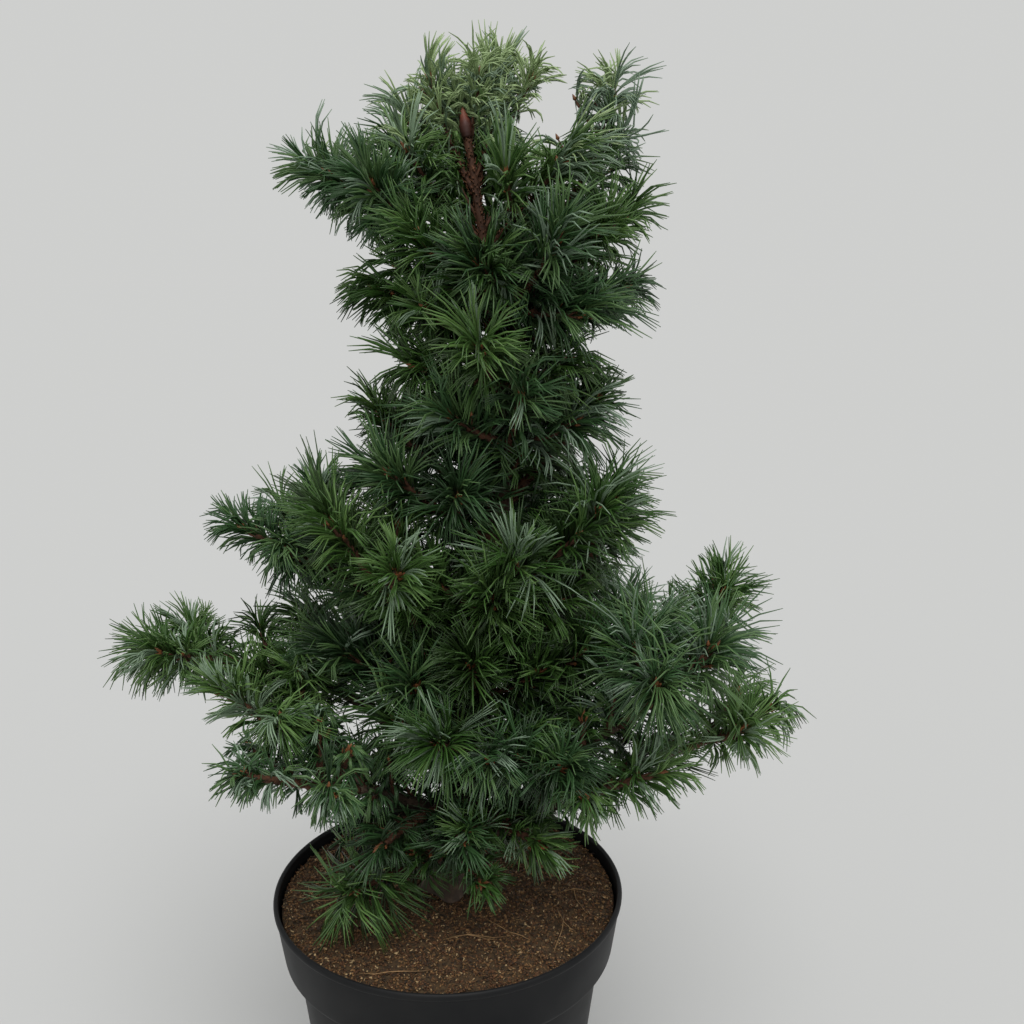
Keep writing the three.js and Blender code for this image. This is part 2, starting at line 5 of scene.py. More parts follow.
import bpy
import numpy as np
from bpy.props import FloatProperty, FloatVectorProperty, IntProperty, PointerProperty
from bpy.types import Operator, Panel, PropertyGroup, Scene
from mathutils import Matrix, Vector


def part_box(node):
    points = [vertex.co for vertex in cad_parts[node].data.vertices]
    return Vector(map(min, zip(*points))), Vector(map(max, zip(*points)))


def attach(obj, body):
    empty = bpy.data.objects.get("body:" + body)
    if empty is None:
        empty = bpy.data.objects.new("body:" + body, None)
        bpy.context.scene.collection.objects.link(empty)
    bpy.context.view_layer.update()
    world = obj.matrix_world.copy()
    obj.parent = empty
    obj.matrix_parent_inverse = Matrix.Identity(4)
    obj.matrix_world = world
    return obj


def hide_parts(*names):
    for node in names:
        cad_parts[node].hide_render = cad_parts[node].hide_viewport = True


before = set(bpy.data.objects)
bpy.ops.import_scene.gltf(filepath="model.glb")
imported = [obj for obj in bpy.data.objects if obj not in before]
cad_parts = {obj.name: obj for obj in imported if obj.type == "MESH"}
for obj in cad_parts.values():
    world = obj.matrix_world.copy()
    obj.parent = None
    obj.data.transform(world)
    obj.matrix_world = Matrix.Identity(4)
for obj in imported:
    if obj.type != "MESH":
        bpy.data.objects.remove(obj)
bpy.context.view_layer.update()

bl_info = {
    "name": "Potted White Pine",
    "version": (1, 0, 0),
    "blender": (4, 5, 0),
    "location": "View3D > Sidebar > White Pine",
    "description": "Grows a young Japanese white pine in a black nursery pot, needle by needle",
    "category": "Object",
}

# The plant is worked out in millimetres, as a grower would measure it, and scaled when it becomes a mesh.
# +Z is up, the origin is the centre of the pot's underside, and -Y is the side that is looked at.
# Azimuths turn from +X, the right, towards +Y, the back.
MM = 0.001
UP = np.array([0.0, 0.0, 1.0])
RIGHT = np.array([1.0, 0.0, 0.0])
NEARLY_UP = UP + 0.01 * RIGHT
GOLDEN_ANGLE = math.pi * (3 - math.sqrt(5))

# Pot and mulch.
POT_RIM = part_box("pot")[1].x / MM
POT_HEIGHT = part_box("pot")[1].z / MM
POT_FOOT = [(70, 0), (73, 4), (91, 4), (96, 0.4), (97.5, 0), (99.4, 0.3), (100.6, 1.2), (101, 2.6)]
POT_BODY_TOP, POT_COLLAR_FOOT, POT_COLLAR_TOP = (122, 170), (132, 179), (137.6, 217.4)
LIP_WIDTH, LIP_DEPTH, LIP_ARC = 4, 6, (-70, 200)
POT_WALL, POT_EDGE, LIP_EDGE, POT_SMOOTH = 2.2, 2.5, 0.8, 35
POT_FLOOR = (98.8, 7)
SOIL_TOP, SOIL_MOUND, SOIL_FLAT, SOIL_EDGE = 215, 5, 34, 133.8
SOIL_SIDE = [(97.7, 7.3), (118.7, 170.3), (128.7, 179.3), (SOIL_EDGE, SOIL_TOP)]
CRUMB_HEIGHT, CRUMB_ALONG_X, CRUMB_ALONG_Y, CRUMB_SHIFT, CRUMB_FADE = 1.6, 0.19, 0.23, 1.3, 10

# Trunk and boughs.
GROUND_LEVEL = 220.3
TRUNK_TOP, TRUNK_BOW, TRUNK_BOW_TURNS, TRUNK_WAVE = 809, 42, 0.43, 7
TRUNK_FOOT, TRUNK_TIP, TRUNK_TAPER = 13, 4.2, 0.85
TRUNK_LENGTH = TRUNK_TOP - GROUND_LEVEL
FLARE_RADIUS, FLARE_HEIGHT = 10, 15
BUTTRESSES, BUTTRESS_DEPTH, BUTTRESS_FADE, BUTTRESS_TURN = 4, 0.2, 24, 0.6
LEADER_BUD_LENGTH, LEADER_BUD_SWELL = 20, 4.7
LEADER_BUD_FROM = 1 - LEADER_BUD_LENGTH / TRUNK_LENGTH
BOUGH_ROOT, BOUGH_TIP, BOUGH_SEAT = 5.6, 3.2, 0.4
BOUGH_LOWEST, BOUGH_HIGHEST, BOUGH_SWELL, BOUGH_FADE = 1.12, 0.86, 0.3, 9
GAP = 0.3

# Shoots: the rule by which a mass branches, with every angle in degrees.
SHOOT_LENGTH, SHOOT_BARE, SHOOT_ROOT, SHOOT_TIP, SHOOT_BUD, SHOOT_SHOULDER = 58, 0.22, 2.9, 2.5, 0.6, 0.93
STEM_LIFT, SIDE_LIFT = 7, 18
ROLLS = (-8, 188, 90, 40, 140, 270)
TURNS_TRIED = (0, 35, -35, 70)
OUTERMOST, SPACING, UPWARD = 0.94, 0.5, 0.22
VARY_ROLL, VARY_FAN, VARY_LENGTH = 24, 0.3, 0.28
LIMB_ROOM, RIM_ROOM_OUT, RIM_ROOM_ABOVE, SOIL_ROOM = 1.2, 16, 4, 3
TRUNK_RODS, BOUGH_RODS, SHOOT_RODS = 24, 8, 6
BOUGH_SEED, TUFT_SEED = 11, 71


class Bough(NamedTuple):
    """Where a bough leaves the trunk, how far out and up its tip lies, and how deep it sags."""

    height: float
    azimuth: float
    reach: float
    climb: float
    sag: float


class Mass(NamedTuple):
    """How long a mass's stem runs, how many shoots it bears, how wide they fan and how much they lift."""

    stem: float
    shoots: int
    fan: float
    lift: float


class Seat(NamedTuple):
    """Where a mass that has no bough leaves the trunk, and how steeply it rises."""

    height: float
    azimuth: float
    rise: float


BOUGHS = {
    "low_left_far": (Bough(300, 177, 164, 106, -44), Mass(26, 3, 40, -8)),
    "low_left_front": (Bough(276, 222, 96, 60, -10), Mass(46, 6, 64, -4)),
    "low_left_side": (Bough(256, 194, 100, 86, -4), Mass(44, 5, 62, -6)),
    "low_right_under": (Bough(260, 328, 100, 62, 0), Mass(28, 4, 58, -14)),
    "low_right_front": (Bough(300, 334, 126, 82, 10), Mass(44, 6, 58, 6)),
    "low_right_far": (Bough(282, 353, 172, 66, 6), Mass(18, 3, 44, 4)),
    "low_right_up": (Bough(326, 8, 158, 88, 24), Mass(10, 2, 38, 18)),
    "low_back_right": (Bough(300, 50, 104, 70, 8), Mass(40, 4, 58, 4)),
    "low_back": (Bough(276, 96, 104, 62, 2), Mass(46, 5, 62, 0)),
    "low_back_left": (Bough(316, 138, 94, 66, 4), Mass(44, 4, 58, 0)),
    "mid_left": (Bough(416, 186, 90, 58, -8), Mass(48, 5, 58, -4)),
    "mid_left_front": (Bough(392, 216, 72, 74, 2), Mass(36, 4, 62, 2)),
    "mid_right": (Bough(404, 345, 66, 68, 14), Mass(24, 4, 42, 12)),
    "mid_back": (Bough(412, 86, 74, 50, 4), Mass(48, 5, 62, 2)),
}

TRUNK_TUFTS = {
    "pot_left": (Seat(246, 228, 22), Mass(52, 1, 40, -34)),
    "foot_front": (Seat(264, 282, 16), Mass(40, 2, 60, -24)),
    "foot_left": (Seat(300, 236, 8), Mass(52, 3, 62, -20)),
    "foot_right": (Seat(290, 306, 10), Mass(48, 3, 62, -16)),
    "low_front_left": (Seat(338, 258, 26), Mass(60, 3, 66, -8)),
    "low_front_right": (Seat(322, 304, 20), Mass(74, 3, 64, -4)),
    "low_centre": (Seat(372, 266, 38), Mass(42, 3, 60, -2)),
    "low_centre_right": (Seat(366, 330, 34), Mass(60, 3, 58, 0)),
    "mid_low_left": (Seat(356, 200, 34), Mass(76, 3, 56, -4)),
    "mid_centre": (Seat(446, 272, 24), Mass(40, 3, 62, 0)),
    "mid_right_front": (Seat(458, 316, 34), Mass(52, 3, 54, 4)),
    "mid_high_left": (Seat(506, 214, 30), Mass(56, 4, 62, 4)),
    "waist_left": (Seat(536, 178, 28), Mass(58, 2, 46, 14)),
    "waist_right": (Seat(536, 10, 40), Mass(62, 3, 42, 18)),
    "waist_front": (Seat(566, 284, 38), Mass(34, 3, 62, 2)),
    "waist_back": (Seat(540, 96, 36), Mass(50, 4, 60, 6)),
    "upper_left_low": (Seat(644, 184, 36), Mass(42, 4, 58, -18)),
    "upper_right_low": (Seat(638, 352, 34), Mass(50, 4, 54, -12)),
    "upper_front": (Seat(614, 262, 26), Mass(38, 3, 64, -2)),
    "upper_front_left": (Seat(668, 228, 36), Mass(38, 3, 60, 2)),
    "upper_front_right": (Seat(664, 304, 34), Mass(44, 3, 58, 2)),
    "upper_right": (Seat(674, 4, 32), Mass(64, 4, 54, 4)),
    "upper_back": (Seat(636, 84, 36), Mass(50, 5, 60, 4)),
    "top_left": (Seat(702, 182, 30), Mass(74, 3, 48, -2)),
    "top_left_up": (Seat(722, 160, 50), Mass(48, 3, 44, 8)),
    "top_front_right": (Seat(718, 318, 38), Mass(36, 2, 50, -6)),
    "top_right": (Seat(704, 6, 28), Mass(112, 1, 40, 48)),
    "crown_left": (Seat(756, 164, 58), Mass(32, 3, 44, 12)),
    "crown_right": (Seat(760, 60, 64), Mass(26, 3, 44, 6)),
}

FAMILIES = ("green", "blue", "light")
MASS_NAMES = [*BOUGHS, *TRUNK_TUFTS]

# Finer growth, which only the finished plant has.
FINE_SEED, NEEDLE_SEED, SCALE_SEED, BUD_SEED, CHIP_SEED, LITTER_SEED = 500, 501, 502, 503, 504, 505
FINE_SHARES = (0.52, 0.8)
FINE_LENGTHS, FINE_SHORTENS = (12, 24), 1.1
FINE_FAN, FINE_LIFT, VARY_FINE_FAN = 44, 10, (0.8, 1.2)
FINE_BARE, FINE_ROOT, FINE_TIP = 0.3, 1.7, 1.4
TRUNK_SPURS = ((244, 330, 8), (330, 690, 11), (690, 797, 7))  # from, to and step
SPURS_BEHIND_FROM, SPURS_STEEP_AT, STEEP_RISE = 690, 790, 72
LONG_STEM, STEM_SPURS = 70, (0.5, 0.6, 0.7, 0.8)
BOUGH_SPURS = ((0.42, 1), (0.55, -1), (0.66, 1), (0.8, -1), (0.92, 1))  # share, and up or down
SPUR_TILT, SPUR_SIDEWAYS, SPUR_FORWARD = (0.3, 0.7), (0.1, 0.7), 0.5
STEM_SPUR_UP, STEM_SPUR_FORWARD = 0.2, 0.7
SPUR_LENGTHS, SPUR_RISE, SPUR_LIFT, SHORT_SPUR = (32, 50), 38, 14, 0.7
SPUR_BARE, SPUR_ROOT, SPUR_TIP = 0.28, 1.9, 1.5


# Vectors and random streams.
def lerp(a, b, t):
    return a + (b - a) * t


def unit(vectors):
    return vectors / np.linalg.norm(vectors, axis=-1, keepdims=True)


def heading(azimuth, rise):
    """The direction at an azimuth and a rise above the level, both in degrees."""
    a, r = math.radians(azimuth), math.radians(rise)
    return np.array([math.cos(a) * math.cos(r), math.sin(a) * math.cos(r), math.sin(r)])


def outward_from(along, angle):
    """The direction that stands straight out from a limb, upright ones too, at an angle in radians."""
    side = unit(np.cross(along, NEARLY_UP))
    top = np.cross(side, along)
    angle = np.asarray(angle)[..., None]
    return np.cos(angle) * side + np.sin(angle) * top


def seeded(seed):
    """A repeatable stream of numbers from 0 to 1, the one that the plant's solids grow by."""
    scatter, factor, step, size = 2654435761, 1664525, 1013904223, 2**32
    state = seed * scatter % size

    def draw():
        nonlocal state
        state = (state * factor + step) % size
        return state / size

    return draw


def curve_point(t, start, bend, end):
    return (1 - t) ** 2 * start + 2 * t * (1 - t) * bend + t**2 * end


class Line(NamedTuple):
    """A curve from one point to another that is drawn towards a third on its way."""

    start: np.ndarray
    bend: np.ndarray
    end: np.ndarray

    def point(self, share):
        return curve_point(np.asarray(share, float)[..., None], *self)

    def tangent(self, share):
        step = 1e-4
        return unit(self.point(np.minimum(share + step, 1)) - self.point(np.maximum(share - step, 0)))


def rising_line(start, direction, length, lift):
    """A line that leaves in one direction and turns upwards by lift degrees on its way."""
    side = np.cross(direction, UP)
    side = unit(side) if side @ side > 1e-4 else RIGHT
    angle = math.radians(lift)
    after = direction * math.cos(angle) + np.cross(side, direction) * math.sin(angle)
    bend = start + direction * length / 2
    return Line(start, bend, bend + after * length / 2)


# Trunk and bough lines.
def trunk_share(height):
    return (height - GROUND_LEVEL) / TRUNK_LENGTH


def trunk_point(share):
    t = np.asarray(share, float)
    x = TRUNK_BOW * np.sin(TRUNK_BOW_TURNS * 2 * np.pi * t)
    y = TRUNK_WAVE * np.sin(2 * np.pi * t)
    return np.stack([x, y, lerp(GROUND_LEVEL, TRUNK_TOP, t)], axis=-1)


def trunk_beside(z):
    """The middle of the trunk at a height, or at its nearer end."""
    return trunk_point(np.clip(trunk_share(z), 0, 1))


def trunk_radius(share):
    """The radius falls evenly from the foot to the bud, with a flare at the ground."""
    t = np.asarray(share, float)
    flare = FLARE_RADIUS * np.exp(-t * TRUNK_LENGTH / FLARE_HEIGHT)
    return lerp(TRUNK_FOOT, TRUNK_TIP, t**TRUNK_TAPER) + flare


def bough_radius(bough):
    """Higher boughs are slimmer, and each swells a little where it leaves the trunk."""
    size = lerp(BOUGH_LOWEST, BOUGH_HIGHEST, trunk_share(bough.height))

    def radius_at(share):
        t = np.asarray(share, float)
        return lerp(BOUGH_ROOT, BOUGH_TIP, t) * size * (1 + BOUGH_SWELL * np.exp(-t * BOUGH_FADE))

    return radius_at


def bough_line(bough):
    """The line starts inside the trunk and is bent down by the bough's sag."""
    share = trunk_share(bough.height)
    outward = heading(bough.azimuth, 0)
    centre = trunk_point(share)
    start = centre + outward * trunk_radius(share) * BOUGH_SEAT
    end = centre + outward * bough.reach + UP * bough.climb
    return Line(start, (start + end) / 2 - UP * bough.sag, end)


# Shoots. Each limb is also a row of round-ended rods, which keep the others off it.
class Twig(NamedTuple):
    """A twig of one mass, its order 0 for a stem, 1 for a side shoot, 2 for a finer one, 3 for a spur."""

    line: Line
    length: float
    bare: float
    root: float
    tip: float
    mass: str
    order: int

    def radius(self, share):
        """The core tapers to its shoulder and closes in a small bud."""
        t = np.asarray(share, float)
        before = lerp(self.root, self.tip, t / SHOOT_SHOULDER)
        beyond = lerp(self.tip, SHOOT_BUD, (t - SHOOT_SHOULDER) / (1 - SHOOT_SHOULDER))
        return np.where(t > SHOOT_SHOULDER, beyond, before)


def rods_of(point_at, radius_at, pieces):
    shares = np.linspace(0, 1, pieces + 1)
    points, radii = point_at(shares), radius_at(shares)
    return np.column_stack([points[:-1], points[1:], radii[:-1], radii[1:]])


def least_room(rods, others):
    """The least room between any of these rods and any of the others, allowing for their taper."""
    p, q = rods[:, None, :], others[None, :, :]
    along_p, along_q = p[..., 3:6] - p[..., :3], q[..., 3:6] - q[..., :3]
    apart = p[..., :3] - q[..., :3]
    pp, qq, pq = (along_p**2).sum(-1), (along_q**2).sum(-1), (along_p * along_q).sum(-1)
    to_p, to_q = (along_p * apart).sum(-1), (along_q * apart).sum(-1)
    skew = pp * qq - pq * pq
    crossing = np.clip((pq * to_q - to_p * qq) / np.maximum(skew, 1e-9), 0, 1)
    s = np.where(skew > 1e-9, crossing, 0)
    t = (pq * s + to_q) / qq
    held = np.clip(t, 0, 1)
    s = np.where(t == held, s, np.clip((pq * held - to_p) / pp, 0, 1))
    between = apart + along_p * s[..., None] - along_q * held[..., None]
    thick = lerp(p[..., 6], p[..., 7], s) + lerp(q[..., 6], q[..., 7], held)
    return (np.linalg.norm(between, axis=-1) - thick).min()


def is_above_pot(rods):
    ends = rods[:, 3:6]
    over_soil = ends[:, 2] >= SOIL_TOP + SOIL_MOUND + SOIL_ROOM
    over_rim = ends[:, 2] > POT_HEIGHT + RIM_ROOM_ABOVE
    inside_rim = np.hypot(ends[:, 0], ends[:, 1]) < POT_RIM - RIM_ROOM_OUT
    return bool((over_soil & (over_rim | inside_rim)).all())


def side_shoot(stem, plan, k, draw, occupied):
    """The shoots leave the stem to the right, to the left and on top, in turn, the outermost first.

    One that would touch another limb is rolled round the stem, and left out if nowhere is free.
    """
    back = SPACING * (k - 1) / max(1, plan.shoots - 1)
    share = plan.stem * (OUTERMOST - back) / stem.length
    along = stem.line.tangent(share)
    side = unit(np.cross(along, UP))
    top = np.cross(side, along)
    roll = ROLLS[(k - 1) % len(ROLLS)] + VARY_ROLL * (draw() - 0.5)
    spread = math.radians(plan.fan * (1 + VARY_FAN * (draw() - 0.5)))
    length = SHOOT_LENGTH * (1 + VARY_LENGTH * (draw() - 0.5))
    for turn in TURNS_TRIED:
        angle = math.radians(roll + turn)
        outward = unit(side * math.cos(angle) + top * (math.sin(angle) + UPWARD))
        leaves = along * math.cos(spread) + outward * math.sin(spread)
        line = rising_line(stem.line.point(share), leaves, length, SIDE_LIFT + plan.lift / 2)
        shoot = Twig(line, length, SHOOT_BARE, SHOOT_ROOT, SHOOT_TIP, stem.mass, 1)
        rods = rods_of(line.point, shoot.radius, SHOOT_RODS)
        if is_above_pot(rods) and least_room(rods, occupied) > LIMB_ROOM:
            return shoot, rods
    return None


def stem_of(name, plan, start, along, root):
    length = plan.stem + SHOOT_LENGTH
    line = rising_line(start, along, length, plan.lift + STEM_LIFT)
    bare = (plan.stem + SHOOT_LENGTH * SHOOT_BARE) / length
    return Twig(line, length, bare, root, SHOOT_TIP, name, 0)


@cache
def grown_shoots():
    """Every stem claims its space first, and then every side shoot."""
    rods = {"trunk": [rods_of(trunk_point, trunk_radius, TRUNK_RODS)]}
    stems = []
    for i, (name, (bough, plan)) in enumerate(BOUGHS.items()):
        line, radius_at = bough_line(bough), bough_radius(bough)
        rods["bough_" + name] = [rods_of(line.point, radius_at, BOUGH_RODS)]
        along = line.tangent(1.0)
        stem = stem_of(name, plan, line.point(1.0) + along * GAP, along, float(radius_at(1)))
        stems.append((stem, plan, seeded(BOUGH_SEED + i)))
    for i, (name, (seat, plan)) in enumerate(TRUNK_TUFTS.items()):
        start = trunk_point(trunk_share(seat.height))
        stem = stem_of(name, plan, start, heading(seat.azimuth, seat.rise), BOUGH_TIP)
        stems.append((stem, plan, seeded(TUFT_SEED + i)))
    for stem, _, _ in stems:
        rods[stem.mass] = [rods_of(stem.line.point, stem.radius, SHOOT_RODS)]
    shoots = []
    for stem, plan, draw in stems:
        occupied = np.concatenate([row for name, rows in rods.items() if name != stem.mass for row in rows])
        shoots.append(stem)
        for k in range(1, plan.shoots):
            grown = side_shoot(stem, plan, k, draw, occupied)
            if grown:
                shoots.append(grown[0])
                rods[stem.mass].append(grown[1])
    return shoots


@cache
def grown_twigs():
    """The shoots, the finer twigs that stand on each of them among its needles, and the spurs."""
    rng = np.random.default_rng(FINE_SEED)
    twigs = list(grown_shoots())
    for shoot in grown_shoots():
        first_roll = rng.uniform(0, 360)
        for i, share in enumerate(FINE_SHARES):
            at = lerp(shoot.bare, 1, share)
            along = shoot.line.tangent(at)
            outward = outward_from(along, math.radians(first_roll) + i * GOLDEN_ANGLE)
            spread = math.radians(FINE_FAN * rng.uniform(*VARY_FINE_FAN))
            leaves = along * math.cos(spread) + outward * math.sin(spread)
            length = rng.uniform(*FINE_LENGTHS) * (FINE_SHORTENS - share)
            line = rising_line(shoot.line.point(at), leaves, length, FINE_LIFT)
            twigs.append(Twig(line, length, FINE_BARE, FINE_ROOT, FINE_TIP, shoot.mass, 2))
    return twigs + grown_spurs(rng)


def spur(start, leaves, length, mass):
    line = rising_line(start, unit(leaves), length, SPUR_LIFT)
    return Twig(line, length, SPUR_BARE, SPUR_ROOT, SPUR_TIP, mass, 3)


def grown_spurs(rng):
    """Short twigs on old wood: round the trunk, above and below each bough, and beside long stems."""
    spurs = []
    tufts = list(TRUNK_TUFTS)
    heights = np.concatenate([np.arange(*spurs) for spurs in TRUNK_SPURS])
    for k, height in enumerate(heights):
        mass = min(tufts, key=lambda name: abs(TRUNK_TUFTS[name][0].height - height))
        azimuth = math.degrees(k * GOLDEN_ANGLE) % (360 if height < SPURS_BEHIND_FROM else 180)
        rise = np.interp(height, [SPURS_BEHIND_FROM, SPURS_STEEP_AT], [SPUR_RISE, STEEP_RISE])
        start = trunk_point(trunk_share(height))
        spurs.append(spur(start, heading(azimuth, rise), rng.uniform(*SPUR_LENGTHS), mass))
    for name, (bough, _) in BOUGHS.items():
        line = bough_line(bough)
        for k, (share, upward) in enumerate(BOUGH_SPURS):
            along = line.tangent(share)
            side = unit(np.cross(along, UP)) * (-1) ** (k // 2)
            leaves = UP * lerp(*SPUR_TILT, upward) + side * rng.uniform(*SPUR_SIDEWAYS)
            leaves = leaves + along * SPUR_FORWARD
            length = rng.uniform(*SPUR_LENGTHS) * (1 if upward > 0 else SHORT_SPUR)
            spurs.append(spur(line.point(share), leaves, length, name))
    for stem in grown_shoots():
        if stem.order == 0 and stem.length > LONG_STEM + SHOOT_LENGTH:
            for k, share in enumerate(STEM_SPURS):
                forward = stem.line.tangent(share) * STEM_SPUR_FORWARD
                leaves = forward + RIGHT * (-1) ** k + UP * STEM_SPUR_UP
                length = rng.uniform(*SPUR_LENGTHS) * SHORT_SPUR
                spurs.append(spur(stem.line.point(share), leaves, length, stem.mass))
    return spurs


# Making pieces.
def finish_piece(piece, material, slot, *nodes):
    """Give a piece its finish, fix it to the plant and let it stand for the nodes that it replaces."""
    piece.data.materials.clear()
    piece.data.materials.append(material)
    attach(piece, "root")
    if nodes:
        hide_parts(*nodes)


def joined_piece(name, forms):
    """One piece from many small closed forms, each its corners in millimetres and its triangles."""
    starts = np.cumsum([0, *(len(corners) for corners, _ in forms)])
    corners = np.concatenate([corners for corners, _ in forms]) * MM
    faces = np.concatenate([faces + start for (_, faces), start in zip(forms, starts)])
    mesh = bpy.data.meshes.new(name)
    mesh.vertices.add(len(corners))
    mesh.vertices.foreach_set("co", corners.astype(np.float32).ravel())
    mesh.loops.add(faces.size)
    mesh.loops.foreach_set("vertex_index", faces.astype(np.int32).ravel())
    mesh.polygons.add(len(faces))
    mesh.polygons.foreach_set("loop_start", np.arange(0, faces.size, 3, dtype=np.int32))
    mesh.polygons.foreach_set("use_smooth", np.ones(len(faces), dtype=bool))
    mesh.update(calc_edges=True)
    piece = bpy.data.objects.new(name, mesh)
    bpy.context.collection.objects.link(piece)
    return piece


def axes_across(points):
    """Two directions across a line, or across each of many, at every one of its points."""
    along = unit(np.gradient(points, axis=-2))
    chord = np.abs(points[..., -1, :] - points[..., 0, :])
    across = np.where(chord[..., 2:] > chord[..., :1], RIGHT, UP)[..., None, :]
    side = unit(np.cross(along, across))
    return side, np.cross(along, side)


def faces_round(rings, sides):
    """The triangles between each ring of a tube and the next."""
    j = np.arange(sides)
    following = (j + 1) % sides
    faces = []
    for low in range(0, sides * (rings - 1), sides):
        high = low + sides
        faces.append(np.column_stack([low + j, low + following, high + j]))
        faces.append(np.column_stack([low + following, high + following, high + j]))
    return np.concatenate(faces)


def repeated(faces, count, corners_each):
    """The faces of one form, over again for each of a count of forms."""
    starts = corners_each * np.arange(count)[:, None, None]
    return (faces[None] + starts).reshape(-1, 3)


def tube_form(points, radii, sides, turn=0.5):
    """A closed tube along points, each ring turned by a share of a side, its ends drawn to points."""
    rings = len(points)
    side, top = axes_across(points)
    around = (np.arange(sides)[None, :] + turn * np.arange(rings)[:, None]) * 2 * np.pi / sides
    out = np.cos(around)[..., None] * side[:, None] + np.sin(around)[..., None] * top[:, None]
    radii = np.broadcast_to(np.asarray(radii)[:, None] if np.ndim(radii) == 1 else radii, (rings, sides))
    body = points[:, None] + out * radii[..., None]
    corners = np.concatenate([body.reshape(-1, 3), points[:1], points[-1:]])
    first, last = rings * sides, rings * sides + 1
    j = np.arange(sides)
    following = (j + 1) % sides
    high = (rings - 1) * sides
    foot = np.column_stack([np.full(sides, first), following, j])
    tip = np.column_stack([np.full(sides, last), high + j, high + following])
    return corners, np.concatenate([foot, faces_round(rings, sides), tip])


def tiled(girth, depth):
    """Every other ring stands out, as scales do that overlap like tiles."""
    return girth * (1 + depth * np.where(np.arange(len(girth)) % 2, 1, -1))


def select_only(piece):
    bpy.ops.object.select_all(action="DESELECT")
    piece.select_set(True)
    bpy.context.view_layer.objects.active = piece


def face_outwards():
    """Turn every face of the mesh in edit mode outwards, and leave edit mode."""
    bpy.ops.mesh.select_all(action="SELECT")
    bpy.ops.mesh.normals_make_consistent(inside=False)
    bpy.ops.object.mode_set(mode="OBJECT")


def stacked_rings(name, rings, sides):
    """Model a closed form by extruding a disc from ring to ring, each a centre and a radius in mm."""
    bpy.ops.object.select_all(action="DESELECT")
    (centre, radius), *others = rings
    place = [c * MM for c in centre]
    bpy.ops.mesh.primitive_circle_add(vertices=sides, radius=radius * MM, fill_type="NGON", location=place)
    piece = bpy.context.object
    piece.name = piece.data.name = name
    bpy.ops.object.mode_set(mode="EDIT")
    bpy.ops.mesh.select_all(action="SELECT")
    for next_centre, next_radius in others:
        step = [(b - a) * MM for a, b in zip(centre, next_centre)]
        bpy.ops.mesh.extrude_region_move(TRANSFORM_OT_translate={"value": step})
        grow = next_radius / radius
        place = [c * MM for c in next_centre]
        bpy.ops.transform.resize(value=(grow, grow, 1), center_override=place)
        centre, radius = next_centre, next_radius
    face_outwards()
    select_only(piece)
    bpy.ops.object.transform_apply(location=True, rotation=True, scale=True)
    return piece


def subdivide(piece, levels):
    select_only(piece)
    bpy.ops.object.modifier_add(type="SUBSURF")
    modifier = piece.modifiers[-1]
    modifier.levels = modifier.render_levels = levels
    bpy.ops.object.modifier_apply(modifier=modifier.name)


def roughen(piece, kind, size, height, **settings):
    """Push a piece's surface in and out by a solid pattern of the given size and height in mm."""
    select_only(piece)
    pattern = bpy.data.textures.new(f"{piece.name}_{kind.lower()}", kind)
    pattern.noise_scale = size * MM
    for setting, value in settings.items():
        setattr(pattern, setting, value)
    bpy.ops.object.modifier_add(type="DISPLACE")
    modifier = piece.modifiers[-1]
    modifier.texture = pattern
    modifier.texture_coords = "LOCAL"
    modifier.strength = height * MM
    modifier.mid_level = 0.5
    bpy.ops.object.modifier_apply(modifier=modifier.name)


def corners_of(piece):
    corners = np.empty(len(piece.data.vertices) * 3, dtype=np.float32)
    piece.data.vertices.foreach_get("co", corners)
    return corners.reshape(-1, 3).astype(float) / MM


def move_corners(piece, corners):
    piece.data.vertices.foreach_set("co", (corners * MM).astype(np.float32).ravel())
    piece.data.update()


